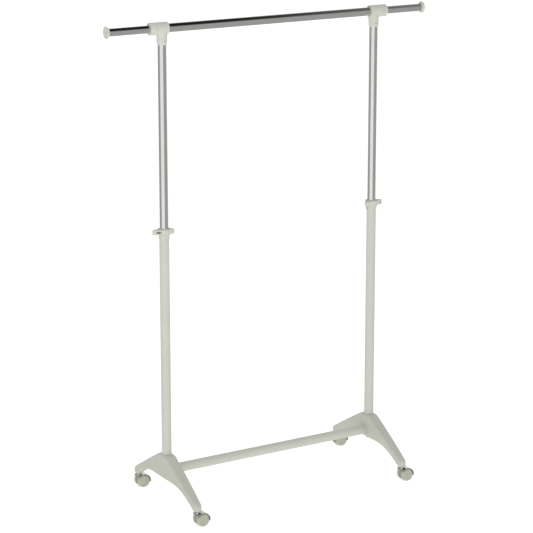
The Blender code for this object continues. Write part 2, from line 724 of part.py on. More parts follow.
def make_stem(name, at):
    flange = BOSS_TOP_Z + FIT
    profile = [
        (0.0, STEM_TAIL_Z),
        (STEM_TAIL_R, STEM_TAIL_Z),
        (STEM_TAIL_R, flange),
        (BOSS_R, flange),
        (BOSS_R, STEM_FLANGE_TOP_Z),
        (STEM_R, STEM_FLANGE_TOP_Z),
        (STEM_R, STEM_TOP_Z - STEM_EDGE),
        (STEM_R - STEM_EDGE, STEM_TOP_Z),
        (0.0, STEM_TOP_Z),
    ]
    part(f"{name}_stem", turned(profile, HOLE_SEGMENTS), zinc, at)


def make_stem_socket(name, at):
    bottom = TIP_UNDER_Z + FIT
    bore = STEM_R + FIT
    profile = [(bore, bottom), (SOCKET_R, bottom), (SOCKET_R, SOCKET_TOP_Z), (bore, SOCKET_TOP_Z)]
    part(f"{name}_socket", turned(profile, HOLE_SEGMENTS), hidden_plastic, at)


def wheel_profile():
    """(radius, distance from the middle) of one wheel, from its bore round to the closed outer face."""
    bore = AXLE_R + FIT
    return [
        (0.0, WHEEL_OUTER_Y),
        *[(WHEEL_R - inset, WHEEL_OUTER_Y - drop) for inset, drop in WHEEL_SHOULDER],
        (WHEEL_R, WHEEL_INNER_Y + WHEEL_EDGE),
        (WHEEL_R - WHEEL_EDGE, WHEEL_INNER_Y),
        (bore, WHEEL_INNER_Y),
        (bore, AXLE_HALF + FIT),
        (0.0, AXLE_HALF + FIT),
    ]


def make_caster(side, end, sign, way):
    name = f"caster_{end}_{side}"
    stem_at = (sign * POST_X, way * STEM_Y, 0.0)
    axle_at = (sign * POST_X + TRAIL, way * STEM_Y, WHEEL_R)
    make_hood(name, stem_at)
    make_stem(name, stem_at)
    make_stem_socket(name, stem_at)
    axle = rod(AXLE_R, -AXLE_HALF, AXLE_HALF, SCREW_SEGMENTS, Y_AXIS)
    part(f"{name}_axle", axle, zinc, axle_at)
    for place, facing in ENDS.items():
        shape = turned(wheel_profile(), WHEEL_SEGMENTS, Y_AXIS)
        bmesh.ops.scale(shape, vec=(1.0, facing, 1.0), verts=shape.verts)
        part(f"{name}_wheel_{place}", shape, wheel_plastic, axle_at)


def build():
    clear_scene()
    for side, sign in SIDES.items():
        make_foot(side, sign)
        make_frame_bolt(side, sign)
        make_lower_post(side, sign)
        make_post_insert(side, sign)
        make_grip_bush(side, sign)
        make_lock_collar(side, sign)
        make_upper_post(side, sign)
        make_slide_plug(side, sign)
        make_tee(side, sign)
        make_screws(side, sign)
        make_extension(side, sign)
        for end, way in ENDS.items():
            make_caster(side, end, sign, way)
    make_main_bar()
    make_crossbar()


build()
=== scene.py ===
# %% [markdown]
# # A rolling clothes rack
#
# The rack has two moulded feet on twin-wheel casters, painted steel legs, and chrome tubes that slide
# out of them to carry a hanging bar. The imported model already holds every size, joint and solid.
# This script only makes the surfaces: finer shapes in the same places, and the finishes on them.
#
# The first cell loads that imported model. Its objects stay where they are, and each new shape is told
# which of the model's bodies it moves with, so that the rack still slides, turns and rolls.

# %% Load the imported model
import json
import math

import bmesh
import bpy
from mathutils import Matrix, Vector


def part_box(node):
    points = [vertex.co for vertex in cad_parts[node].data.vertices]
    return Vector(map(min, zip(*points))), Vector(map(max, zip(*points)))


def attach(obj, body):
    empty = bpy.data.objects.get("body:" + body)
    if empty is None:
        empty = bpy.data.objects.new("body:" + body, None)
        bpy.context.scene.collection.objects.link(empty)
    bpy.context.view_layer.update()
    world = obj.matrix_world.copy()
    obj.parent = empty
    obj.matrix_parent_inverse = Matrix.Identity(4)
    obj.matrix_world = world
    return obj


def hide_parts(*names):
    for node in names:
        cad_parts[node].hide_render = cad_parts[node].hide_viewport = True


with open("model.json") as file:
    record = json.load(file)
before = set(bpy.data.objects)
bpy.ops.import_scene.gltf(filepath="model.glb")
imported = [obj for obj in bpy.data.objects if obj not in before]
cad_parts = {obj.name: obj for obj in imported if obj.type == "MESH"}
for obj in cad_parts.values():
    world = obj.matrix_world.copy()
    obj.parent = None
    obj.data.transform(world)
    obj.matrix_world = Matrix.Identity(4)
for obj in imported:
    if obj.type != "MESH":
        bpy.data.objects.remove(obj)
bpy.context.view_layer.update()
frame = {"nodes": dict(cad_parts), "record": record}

# %% [markdown]
# ## Working units
#
# A rack is drawn in millimetres, and Blender works in metres. Shapes here are made in millimetres and
# scaled once, when they become objects. Two small tables name the sides and ends, with the sign
# that each has along its axis, so one loop makes both of everything that comes in pairs.

# %% Units, sides and axes
MM = 0.001
FULL_TURN = math.tau
SIDES = {"left": -1, "right": 1}
ENDS = {"front": -1, "back": 1}
ALONG_X = Matrix.Rotation(math.pi / 2, 4, "Y")
ALONG_Y = Matrix.Rotation(-math.pi / 2, 4, "X")
ALONG_Z = Matrix.Identity(4)


def box_mm(node):
    """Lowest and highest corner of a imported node, in millimetres."""
    low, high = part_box(node)
    return low / MM, high / MM


def middle_mm(node):
    """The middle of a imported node's box."""
    low, high = box_mm(node)
    return (low + high) / 2


POST_X = middle_mm("upper_post_right").x
BAR_Z = middle_mm("main_bar").z
CROSSBAR_Z = middle_mm("crossbar").z
print(f"posts {POST_X:.1f} mm each side, bar {BAR_Z:.1f} mm up, crossbar {CROSSBAR_Z:.1f} mm up")

# %% [markdown]
# ## Profiles with eased corners
#
# No moulded or rolled part has a perfectly sharp corner, and the thin line of light along each edge is
# what makes a part look made. A Bevel modifier could round the finished mesh, but most of these parts
# are turned from a profile, so it is simpler to round the corners of the profile first. Each corner is
# written as a point and a radius, and a short arc takes its place.

# %% Ease the corners of a profile
def eased(corners, closed=True, steps=4):
    """Points of an outline of (a, b, radius) corners, with an arc in place of each corner."""
    points = []
    last = len(corners) - 1
    for i, (a, b, radius) in enumerate(corners):
        here = Vector((a, b))
        if radius == 0 or (not closed and i in (0, last)):
            points.append(here)
            continue
        before = (Vector(corners[i - 1][:2]) - here).normalized()
        after = (Vector(corners[(i + 1) % len(corners)][:2]) - here).normalized()
        half = before.angle(after) / 2
        centre = here + (before + after).normalized() * radius / math.sin(half)
        start = here + before * radius / math.tan(half) - centre
        sweep = math.pi - 2 * half
        if before.x * after.y - before.y * after.x > 0:
            sweep = -sweep
        for step in range(steps + 1):
            turn = Matrix.Rotation(sweep * step / steps, 2)
            points.append(centre + turn @ start)
    return points


def arc(radius, start, end, steps):
    angles = [start + (end - start) * i / steps for i in range(steps + 1)]
    return [Vector((radius * math.cos(angle), radius * math.sin(angle))) for angle in angles]


square = eased([(0, 0, 1), (10, 0, 1), (10, 10, 1), (0, 10, 1)])
print("an eased square has", len(square), "points, from", tuple(round(v, 2) for v in square[0]))

# %% [markdown]
# ## Turning, extruding and lofting
#
# Three ways of making a solid cover the whole rack. A turned part is a profile swept round an axis, as
# on a lathe: every tube, cap, screw and wheel. An extruded part is an outline pushed straight through,
# with its rim eased: the collar's wings and the caster's web. A loft joins a row of sections, which
# suits the feet. Each returns a bmesh, Blender's editable mesh, so that they can be cut and joined.

# %% Turn, extrude and loft
TURN_STEPS = 96
SMALL_TURN_STEPS = 48
ON_AXIS_R = 1e-6
RIM_STEPS = 3


def skin(shape, loops, closed=False):
    """Faces between each loop of points and the next. A loop of one point closes to a tip."""
    pairs = list(zip(loops, loops[1:]))
    if closed:
        pairs.append((loops[-1], loops[0]))
    count = max(len(loop) for loop in loops)
    for first, second in pairs:
        for i in range(count):
            j = (i + 1) % count
            corners = [first[i % len(first)], first[j % len(first)]]
            corners += [second[j % len(second)], second[i % len(second)]]
            corners = list(dict.fromkeys(corners))
            if len(corners) > 2:
                shape.faces.new(corners)


def turned(profile, axis=ALONG_Z, at=(0, 0, 0), steps=TURN_STEPS):
    """A bmesh swept round an axis from (radius, distance) points."""
    shape = bmesh.new()
    loops = []
    for radius, along in profile:
        if radius < ON_AXIS_R:
            loops.append([shape.verts.new((0, 0, along))])
            continue
        ring = arc(radius, 0, FULL_TURN, steps)[:-1]
        loops.append([shape.verts.new((x, y, along)) for x, y in ring])
    skin(shape, loops, closed=len(loops[0]) > 1)
    bmesh.ops.transform(shape, matrix=Matrix.Translation(at) @ axis, verts=shape.verts)
    return shape


def drill(radius, low, high, axis=ALONG_Z, at=(0, 0, 0), steps=TURN_STEPS):
    """A plain round cutter. With six steps it cuts a hexagon."""
    profile = [Vector(point) for point in ((0, low), (radius, low), (radius, high), (0, high))]
    return turned(profile, axis, at, steps)


def pulled_in(outline, inset):
    """The outline with each point moved inwards, square to its neighbours."""
    moved = []
    for i, point in enumerate(outline):
        along = outline[(i + 1) % len(outline)] - outline[i - 1]
        inwards = Vector((-along.y, along.x)).normalized()
        moved.append(point + inwards * inset)
    return moved


def pushed(outline, low, high, ease):
    """A counterclockwise outline extruded up from low to high, with its two rims eased."""
    shape = bmesh.new()
    turns = [math.pi / 2 * i / RIM_STEPS for i in range(RIM_STEPS + 1)]
    rim = [(ease * (1 - math.sin(turn)), ease * (1 - math.cos(turn))) for turn in turns]
    levels = [(inset, low + rise) for inset, rise in rim]
    levels += [(inset, high - rise) for inset, rise in reversed(rim)]
    loops = []
    for inset, height in levels:
        loops.append([shape.verts.new((x, y, height)) for x, y in pulled_in(outline, inset)])
    skin(shape, loops)
    shape.faces.new(loops[0])
    shape.faces.new(loops[-1])
    return shape


def block(low, high):
    """A box from its lowest corner to its highest."""
    shape = bmesh.new()
    bmesh.ops.create_cube(shape, size=1)
    size = Vector(high) - Vector(low)
    bmesh.ops.scale(shape, vec=size, verts=shape.verts)
    bmesh.ops.translate(shape, vec=Vector(low) + size / 2, verts=shape.verts)
    return shape


def mirrored(shape, sign):
    """The shape as it is for sign 1, and flipped across X = 0 for sign -1."""
    bmesh.ops.scale(shape, vec=(sign, 1, 1), verts=shape.verts)
    return shape


sample = turned(eased([(9, 0, 1), (10, 0, .4), (10, 5, .4), (9, 5, .4)], steps=2))
print("a sample ring has", len(sample.faces), "faces")
sample.free()

# %% [markdown]
# ## Cutting and joining
#
# Bores, slots and recesses are cut with Boolean modifiers, the way a drill or a mill would make them.
# The modifiers are evaluated once and the result is read back, so no helper objects are left over.

# %% Cut and join shapes
WELD_MM = 0.001


def scratch_object(name, shape):
    bmesh.ops.recalc_face_normals(shape, faces=shape.faces)
    mesh = bpy.data.meshes.new(name)
    shape.to_mesh(mesh)
    shape.free()
    obj = bpy.data.objects.new(name, mesh)
    bpy.context.scene.collection.objects.link(obj)
    return obj


def worked(shape, steps):
    """The shape after a list of ("UNION" or "DIFFERENCE", other shape) steps."""
    main = scratch_object("work", shape)
    others = []
    for operation, other in steps:
        helper = scratch_object("tool", other)
        modifier = main.modifiers.new(operation, "BOOLEAN")
        modifier.operation = operation
        modifier.solver = "EXACT"
        modifier.object = helper
        others.append(helper)
    graph = bpy.context.evaluated_depsgraph_get()
    result = bpy.data.meshes.new_from_object(main.evaluated_get(graph))
    made = bmesh.new()
    made.from_mesh(result)
    bmesh.ops.remove_doubles(made, verts=made.verts, dist=WELD_MM)
    for obj in [main, *others]:
        mesh = obj.data
        bpy.data.objects.remove(obj)
        bpy.data.meshes.remove(mesh)
    bpy.data.meshes.remove(result)
    return made


sample = worked(block((0, 0, 0), (4, 4, 4)), [("DIFFERENCE", block((2, 2, 2), (5, 5, 5)))])
print("a notched block has", len(sample.faces), "faces")
sample.free()

# %% [markdown]
# ## Putting a piece on the rack
#
# A new piece takes the place of one or more imported nodes and moves with their body. Normals are
# smoothed across gentle angles and kept crisp across steep ones, and a Weighted Normal modifier stops the
# eased rims from shading the flat faces beside them.

# %% Make a piece of a shape
SHARP_ANGLE = math.radians(38)
bodies = frame["record"]["behaviour"]["bodies"]
body_of_node = {node: body for body, nodes in bodies.items() for node in nodes}
made_pieces = []


def piece(name, shape, finish, slot, *nodes):
    """A finished object from a shape in millimetres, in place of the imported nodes."""
    bmesh.ops.recalc_face_normals(shape, faces=shape.faces)
    bmesh.ops.scale(shape, vec=(MM, MM, MM), verts=shape.verts)
    mesh = bpy.data.meshes.new(name)
    shape.to_mesh(mesh)
    shape.free()
    mesh.shade_smooth()
    mesh.set_sharp_from_angle(angle=SHARP_ANGLE)
    mesh.materials.append(finish)
    obj = bpy.data.objects.new(name, mesh)
    bpy.context.scene.collection.objects.link(obj)
    weighted = obj.modifiers.new("even flats", "WEIGHTED_NORMAL")
    weighted.keep_sharp = True
    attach(obj, body_of_node[nodes[0]])
    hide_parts(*nodes)
    made_pieces.append(obj)
    return obj


# %% [markdown]
# ## Finishes: a helper for nodes
#
# Every finish is a small node tree. One function adds a node, sets its values and links its inputs, and
# another turns the sRGB hex codes that painters and web pages use into the linear values that a
# renderer needs. Patterns use object coordinates, which are metres on the rack itself, so a grain of
# one millimetre is written as one millimetre and moves with its piece.

# %% Node and colour helpers
# Most of a noise's values lie in this span.
NOISE_SPAN = {"From Min": 0.3, "From Max": 0.7}
# A Mix node has a socket for every kind of value. These are the ones for colours.
COLOUR_A, COLOUR_B, COLOUR_RESULT = 6, 7, 2


def linear(value):
    """One channel of an sRGB colour, 0 to 1, turned to linear light."""
    return value / 12.92 if value <= 0.04045 else ((value + 0.055) / 1.055) ** 2.4


def colour(hex_code):
    return [linear(int(hex_code[i : i + 2], 16) / 255) for i in (1, 3, 5)] + [1.0]


def add(tree, kind, inputs=(), **settings):
    """A node of a kind, with its settings, and its inputs given as values or as sockets to link."""
    node = tree.nodes.new(kind)
    for name, value in settings.items():
        setattr(node, name, value)
    for name, value in dict(inputs).items():
        if isinstance(value, bpy.types.NodeSocket):
            tree.links.new(value, node.inputs[name])
        else:
            node.inputs[name].default_value = value
    return node


def new_finish(name):
    """An empty material: its tree, its shader, and coordinates in metres on the rack."""
    made = bpy.data.materials.new(name)
    made.use_nodes = True
    tree = made.node_tree
    tree.nodes.clear()
    shader = add(tree, "ShaderNodeBsdfPrincipled")
    output = add(tree, "ShaderNodeOutputMaterial", {"Surface": shader.outputs["BSDF"]})
    output.is_active_output = True
    place = add(tree, "ShaderNodeTexCoord").outputs["Object"]
    return made, tree, shader, place


def grain(tree, place, size_mm, stretch=(1, 1, 1), detail=3.0):
    """Noise whose blotches are about size_mm across, longer along an axis whose stretch is over 1."""
    scale = [1 / (factor * size_mm * MM) for factor in stretch]
    mapped = add(tree, "ShaderNodeMapping", {"Vector": place, "Scale": scale})
    return add(tree, "ShaderNodeTexNoise", {"Vector": mapped.outputs["Vector"], "Scale": 1.0,
                                            "Detail": detail})


def surface(tree, shader, tint, gloss, relief):
    """Colour, roughness and bump, each after the pattern that drives it.

    tint is a pattern and two hex codes, gloss a pattern with its lowest and highest roughness,
    and relief a pattern with its height in millimetres.
    """
    pattern, first, second = tint
    spread = add(tree, "ShaderNodeMapRange", {"Value": pattern, **NOISE_SPAN})
    mix = add(tree, "ShaderNodeMix", {"Factor": spread.outputs["Result"]}, data_type="RGBA")
    mix.inputs[COLOUR_A].default_value = colour(first)
    mix.inputs[COLOUR_B].default_value = colour(second)
    tree.links.new(mix.outputs[COLOUR_RESULT], shader.inputs["Base Color"])
    pattern, smooth, rough = gloss
    spread = add(tree, "ShaderNodeMapRange", {"Value": pattern, **NOISE_SPAN, "To Min": smooth,
                                              "To Max": rough})
    tree.links.new(spread.outputs["Result"], shader.inputs["Roughness"])
    pattern, height_mm = relief
    bump = add(tree, "ShaderNodeBump", {"Height": pattern, "Distance": height_mm * MM, "Strength": 1.0})
    tree.links.new(bump.outputs["Normal"], shader.inputs["Normal"])


print("mid grey #808080 is", round(colour("#808080")[0], 3), "in linear light")

# %% [markdown]
# ## Powder-coated steel
#
# The legs and the crossbar are steel tube with a baked powder coat. The powder melts into a skin about
# a tenth of a millimetre thick that dries with a faint orange-peel ripple a few millimetres across,
# and that ripple is what breaks up the reflections. A real finish could be scanned, but two layers of
# noise are enough: one for the ripple and a wide one for the slight change of tone along a tube.

# %% Powder coat
def powder_coated_steel():
    """Baked polyester powder on steel: an even satin skin with a soft ripple."""
    made, tree, shader, place = new_finish("powder_coated_steel")
    tone = grain(tree, place, size_mm=70, detail=2.0).outputs["Fac"]
    peel = grain(tree, place, size_mm=2.4, detail=1.0).outputs["Fac"]
    speck = grain(tree, place, size_mm=0.5).outputs["Fac"]
    surface(tree, shader, tint=(tone, "#c8c9bf", "#cccdc3"), gloss=(speck, 0.36, 0.46), relief=(peel, 0.03))
    shader.inputs["IOR"].default_value = 1.5
    return made


POWDER_COAT = powder_coated_steel()
print("finish:", POWDER_COAT.name)

# %% [markdown]
# ## Chrome-plated steel
#
# The sliding tubes are drawn steel, polished along their length and plated with bright nickel and a very
# thin layer of chromium. Drawing and polishing leave fine lines along the tube that spread
# a reflection slightly sideways. So the noise is stretched along the tube, and one finish is made for
# upright tubes and one for level tubes. A metal keeps the shader's default index of refraction.

# %% Chrome plate on tube
def chrome_plated_steel(name, stretch):
    """Polished bright chromium: nearly a mirror, with hair lines along the tube."""
    made, tree, shader, place = new_finish(name)
    lines = grain(tree, place, size_mm=0.7, stretch=stretch, detail=2.0).outputs["Fac"]
    haze = grain(tree, place, size_mm=26, detail=4.0).outputs["Fac"]
    shader.inputs["Metallic"].default_value = 1.0
    surface(tree, shader, tint=(haze, "#e3e3e0", "#e9e9e6"), gloss=(lines, 0.05, 0.11),
            relief=(lines, 0.0012))
    return made


LINE_STRETCH = 160
CHROME_UPRIGHT = chrome_plated_steel("chrome_plated_steel_upright", (1, 1, LINE_STRETCH))
CHROME_LEVEL = chrome_plated_steel("chrome_plated_steel_level", (LINE_STRETCH, 1, 1))
print("finishes:", CHROME_UPRIGHT.name, CHROME_LEVEL.name)

# %% [markdown]
# ## Moulded plastics
#
# The feet are moulded polypropylene and the fittings are moulded ABS. A steel mould is spark eroded, which
# gives the part a dull, even grain a few tenths of a millimetre across. That is too fine to see from
# across a room, so it is drawn a little coarser. ABS takes a slightly brighter polish than
# polypropylene, and both are a warm pale grey made to go with the painted tube.

# %% Moulded plastic
def moulded_plastic(name, colours, gloss, ior, grain_mm=0.8):
    """Pigmented plastic from a spark-eroded mould: satin, with a fine even grain."""
    made, tree, shader, place = new_finish(name)
    tone = grain(tree, place, size_mm=45, detail=2.0).outputs["Fac"]
    fine = grain(tree, place, grain_mm, detail=2.0).outputs["Fac"]
    surface(tree, shader, tint=(tone, *colours), gloss=(fine, *gloss), relief=(fine, 0.02))
    shader.inputs["IOR"].default_value = ior
    return made


FOOT_PLASTIC = moulded_plastic("moulded_polypropylene", ("#c2c3b8", "#c6c7bc"), (0.44, 0.54), ior=1.49,
                               grain_mm=0.9)
FITTING_PLASTIC = moulded_plastic("moulded_abs", ("#cbccc1", "#cfd0c5"), (0.34, 0.44), ior=1.54)
WHEEL_PLASTIC = moulded_plastic("moulded_nylon", ("#b3b4a4", "#b8b9a9"), (0.36, 0.48), ior=1.53)
DARK_PLASTIC = moulded_plastic("black_polypropylene", ("#2c2c2b", "#333331"), (0.5, 0.6), ior=1.49)
print("finishes:", FOOT_PLASTIC.name, FITTING_PLASTIC.name, WHEEL_PLASTIC.name, DARK_PLASTIC.name)

# %% [markdown]
# ## Plated small metalwork
#
# The caster hoods are plastic plated with bright chromium over copper, so they shine like metal but are
# softer in shape. The bolts, stems and axles are steel with a zinc plate, duller and slightly blue, in
# fine crystals. Both are metals to the eye, because light never passes the plating.

# %% Plated metal
def plated(name, colours, gloss, grain_mm, height_mm):
    """Thin bright plating: metal colour, with a little unevenness from the bath."""
    made, tree, shader, place = new_finish(name)
    patches = grain(tree, place, grain_mm).outputs["Fac"]
    shader.inputs["Metallic"].default_value = 1.0
    surface(tree, shader, tint=(patches, *colours), gloss=(patches, *gloss), relief=(patches, height_mm))
    return made


CHROME_HOOD = plated("chrome_plated_abs", ("#d9d9d4", "#dededa"), (0.08, 0.16), grain_mm=9.0, height_mm=0.01)
ZINC_PLATE = plated("zinc_plated_steel", ("#b7babd", "#c3c5c6"), (0.24, 0.38), grain_mm=0.9, height_mm=0.004)
print("finishes:", CHROME_HOOD.name, ZINC_PLATE.name)

# %% [markdown]
# ## Finishes for the pieces inside
#
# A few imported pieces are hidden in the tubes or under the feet, and show only when the rack is tipped
# or drawn apart. Their shapes are already right, so they stay and only get a real finish.

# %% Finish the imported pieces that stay
KEPT = {"post_insert": ZINC_PLATE, "slide_plug": DARK_PLASTIC, "bar_guide": DARK_PLASTIC}


def keep_node(node, finish):
    obj = frame["nodes"][node]
    obj.data.materials.clear()
    obj.data.materials.append(finish)


for side in SIDES:
    for stem_name, finish in KEPT.items():
        keep_node(f"{stem_name}_{side}", finish)
print("kept:", [f"{stem_name}_{side}" for stem_name in KEPT for side in SIDES])

# %% [markdown]
# ## Tubes
#
# Each tube is turned from the four corners of its wall, eased where the saw cut was deburred. A tube
# could also be a curve with a bevel, but a turned wall is hollow, and the hollow shows where one tube
# slides out of another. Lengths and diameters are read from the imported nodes.

# %% Straight tubes
TUBE_WALL = 1.0
DEBURR = 0.25


def tube_between(radius, start, end, axis, at):
    inner = radius - TUBE_WALL
    wall = [(inner, start, DEBURR), (radius, start, DEBURR), (radius, end, DEBURR), (inner, end, DEBURR)]
    return turned(eased(wall, steps=2), axis, at)


def tube_like(node, axis_index):
    """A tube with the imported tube's diameter, length and place."""
    low, high = box_mm(node)
    centre = (low + high) / 2
    across = (axis_index + 1) % 3
    radius = (high[across] - low[across]) / 2
    length = high[axis_index] - low[axis_index]
    axis = (ALONG_X, ALONG_Y, ALONG_Z)[axis_index]
    return tube_between(radius, -length / 2, length / 2, axis, centre)


for side, sign in SIDES.items():
    piece(f"chrome_upright_{side}", tube_like(f"upper_post_{side}", 2), CHROME_UPRIGHT,
          "chrome_tube", f"upper_post_{side}")
    piece(f"sliding_rod_{side}", tube_like(f"extension_bar_{side}", 0), CHROME_LEVEL,
          "chrome_tube", f"extension_bar_{side}")
piece("hanging_bar", tube_like("main_bar", 0), CHROME_LEVEL, "chrome_tube", "main_bar")
piece("foot_crossbar", tube_like("crossbar", 0), POWDER_COAT, "painted_tube", "crossbar")
print("tubes made:", len(made_pieces))

# %% [markdown]
# ## Legs and their keyed sleeve
#
# A moulded sleeve caps each painted leg and guides the chrome tube. A slot for a key goes through the
# sleeve and the leg, on the side that faces the other leg, so that the sleeve need not turn with the
# collar. Above the collar's seat the sleeve is split into four jaws that close on the chrome tube.

# %% Legs and sleeves
SLEEVE_SKIRT_R = 15.6
SLEEVE_SEAT_R = 17.0
SLEEVE_JAW_R = 16.0
SLEEVE_BORE_R = 13.0
SLEEVE_LEG_BORE_R = 14.6
COLLAR_SEAT_Z = 829.0
SLEEVE_FLARE = 3.0
SLEEVE_SEAT = 2.0
# The room between two pieces that slide or plug together.
FIT = 0.3
JAW_SLITS = 4
JAW_SLIT = 1.6
JAW_SLIT_RISE = 2.3
JAW_SLIT_SPAN = (8.0, 22.0)
KEY_SLOT = 4.0
KEY_SLOT_TOP_Z = 828.6
KEY_SLOT_SPAN = (10.0, 22.0)
KEY_SLOT_IN_LEG = 7.5
KEY_SLOT_UNDER_SLEEVE = 5.5
# Cutters run past the surface that they cut, by this much or by the longer or shorter lengths below.
PAST = 5.0


def key_slot(sign, bottom):
    """The keyway's cutter, through the wall on the inboard side."""
    near, far = sorted(-sign * reach for reach in KEY_SLOT_SPAN)
    half = KEY_SLOT / 2
    return block((sign * POST_X + near, -half, bottom), (sign * POST_X + far, half, KEY_SLOT_TOP_Z))


def leg(side, sign):
    node = f"lower_post_{side}"
    slot_bottom = box_mm(node)[1].z - KEY_SLOT_IN_LEG
    shape = worked(tube_like(node, 2), [("DIFFERENCE", key_slot(sign, slot_bottom))])
    return piece(f"painted_leg_{side}", shape, POWDER_COAT, "painted_tube", node)


def sleeve(side, sign):
    node = f"grip_bush_{side}"
    low, high = box_mm(node)
    step = box_mm(f"lower_post_{side}")[1].z + FIT
    corners = [
        (SLEEVE_LEG_BORE_R, low.z, 0.2), (SLEEVE_SKIRT_R, low.z, 0.6),
        (SLEEVE_SKIRT_R, COLLAR_SEAT_Z - SLEEVE_FLARE, 0.5),
        (SLEEVE_SEAT_R, COLLAR_SEAT_Z - SLEEVE_SEAT, 0.5), (SLEEVE_SEAT_R, COLLAR_SEAT_Z, 0.4),
        (SLEEVE_JAW_R, COLLAR_SEAT_Z, 0), (SLEEVE_JAW_R, high.z, 0.7),
        (SLEEVE_BORE_R, high.z, 0.3), (SLEEVE_BORE_R, step, 0), (SLEEVE_LEG_BORE_R, step, 0),
    ]
    at = (sign * POST_X, 0, 0)
    cuts = [("DIFFERENCE", key_slot(sign, low.z - KEY_SLOT_UNDER_SLEEVE))]
    for i in range(JAW_SLITS):
        near, far = JAW_SLIT_SPAN
        slit = block((near, -JAW_SLIT / 2, COLLAR_SEAT_Z + JAW_SLIT_RISE), (far, JAW_SLIT / 2, high.z + PAST))
        turn = Matrix.Translation(at) @ Matrix.Rotation(FULL_TURN * (i + 0.5) / JAW_SLITS, 4, "Z")
        bmesh.ops.transform(slit, matrix=turn, verts=slit.verts)
        cuts.append(("DIFFERENCE", slit))
    shape = worked(turned(eased(corners), at=at), cuts)
    return piece(f"split_sleeve_{side}", shape, FITTING_PLASTIC, "moulded_fittings", node)


for side, sign in SIDES.items():
    leg(side, sign)
    made = sleeve(side, sign)
    print(made.name, "has", len(made.data.polygons), "faces")

# %% [markdown]
# ## Winged locking collars
#
# A turning collar squeezes the jaws. It is a ring with two wings for finger and thumb: a long one that
# points away from the rack, with a slot in it, and a short one that points inwards and slightly forward.
# The left collar's slot is near the ring, and the right one's is open at the tip of the wing.
# Each wing's outline is the pair of tangents from the ring to a small round tip, so the plastic flows
# from one into the other. The wings are thinner than the ring, so they are joined to it as a
# separate plate with eased rims, and the bore and the slot are cut last.

# %% Locking collars
COLLAR_R = 19.0
COLLAR_BORE_R = 16.4
COLLAR_EASE = 1.3
BORE_EASE = 0.6
BORE_FLARE = 5.6
WING_TIP_R = 6.5
WING_TIP_STEPS = 18
WING_ROOT_STEPS = 40
WING_ROOT_R = 16.0
WING_INSET = 1.0
WING_EASE = 1.8
OUTER_REACH = 37.5
INNER_REACH = 30.0
INNER_TURN = math.radians(20)
SLOT_SPANS = {"left": (15.0, 28.5), "right": (27.0, 42.0)}
SLOT_FRONT_Y = -24.0
SLOT_BACK_Y = 1.0
SLOT_HALF = 2.8


def wing_outline(reach):
    tip_at = reach - WING_TIP_R
    lean = math.acos((WING_ROOT_R - WING_TIP_R) / tip_at)
    tip = [Vector((tip_at, 0)) + point for point in arc(WING_TIP_R, -lean, lean, WING_TIP_STEPS)]
    root = arc(WING_ROOT_R, lean, FULL_TURN - lean, WING_ROOT_STEPS)
    return tip + root


def locking_collar(side, sign):
    node = f"lock_collar_{side}"
    low, high = box_mm(node)
    middle = (low.z + high.z) / 2
    at = (sign * POST_X, 0, 0)
    ring = eased([(0, low.z, 0), (COLLAR_R, low.z, COLLAR_EASE), (COLLAR_R, high.z, COLLAR_EASE),
                  (0, high.z, 0)], closed=False)
    steps = []
    for reach, turn in ((OUTER_REACH, 0), (INNER_REACH, math.pi + INNER_TURN)):
        plate = pushed(wing_outline(reach), low.z + WING_INSET, high.z - WING_INSET, WING_EASE)
        place = Matrix.Rotation(turn, 4, "Z")
        bmesh.ops.transform(plate, matrix=place, verts=plate.verts)
        mirrored(plate, sign)
        bmesh.ops.translate(plate, vec=at, verts=plate.verts)
        steps.append(("UNION", plate))
    mouth = COLLAR_BORE_R + BORE_FLARE
    hole = [(0, low.z - PAST, 0), (mouth, low.z - PAST, 0), (COLLAR_BORE_R, low.z + BORE_EASE, 0),
            (COLLAR_BORE_R, high.z - BORE_EASE, 0), (mouth, high.z + PAST, 0), (0, high.z + PAST, 0)]
    steps.append(("DIFFERENCE", turned(eased(hole, closed=False), at=at)))
    slot_low, slot_high = sorted(sign * (POST_X + reach) for reach in SLOT_SPANS[side])
    slot = block((slot_low, SLOT_FRONT_Y, middle - SLOT_HALF), (slot_high, SLOT_BACK_Y, middle + SLOT_HALF))
    steps.append(("DIFFERENCE", slot))
    shape = worked(turned(ring, at=at), steps)
    return piece(f"winged_collar_{side}", shape, FITTING_PLASTIC, "moulded_fittings", node)


for side, sign in SIDES.items():
    made = locking_collar(side, sign)
    print(made.name, "has", len(made.data.polygons), "faces")

# %% [markdown]
# ## Tee fittings
#
# A tee joins each chrome upright to the bar. It is one moulding, so the stem doesn't just pass into the
# barrel: a fillet runs round the joint. A Boolean and a Bevel could make one, but a curved joint like
# this often leaves pinched faces. The fillet has an exact shape instead: the path of a ball that rolls
# round the corner, touching both cylinders. Its contact lines are worked out, and the barrel's faces
# are laid out to meet the upper one point for point, so the surface is smooth and unbroken. Inboard the
# barrel stops flush with the stem, so that end is trimmed afterwards and given an eased ring.

# %% Tee fittings
BARREL_R = 17.8
BARREL_OUTER = 41.0
BARREL_INNER = 17.0
BARREL_EASE = 1.4
END_RING = 3.0
STEM_R = 15.0
STEM_FOOT_R = 13.9
STEM_BOTTOM = 47.0
STEM_TAPER = 9.0
TEE_FILLET = 1.5
TEE_STOP = 5.0
BORE_R = 13.0
ROD_BORE_R = 11.4
STEM_BORE_TOP = 17.2
BORE_MOUTH = 0.7
PATCH_HALF = 22.0
PATCH_SIDE = 32
PATCH_RINGS = 6
RING_STEPS = 72
STEM_PLAIN_Z = -30.0
FAR_PAST = 10.0
TRIM_HALF = 30.0


def on_barrel(x, angle, radius=BARREL_R):
    """A point round the bar: angle 0 is straight down."""
    return Vector((x, radius * math.sin(angle), -radius * math.cos(angle)))


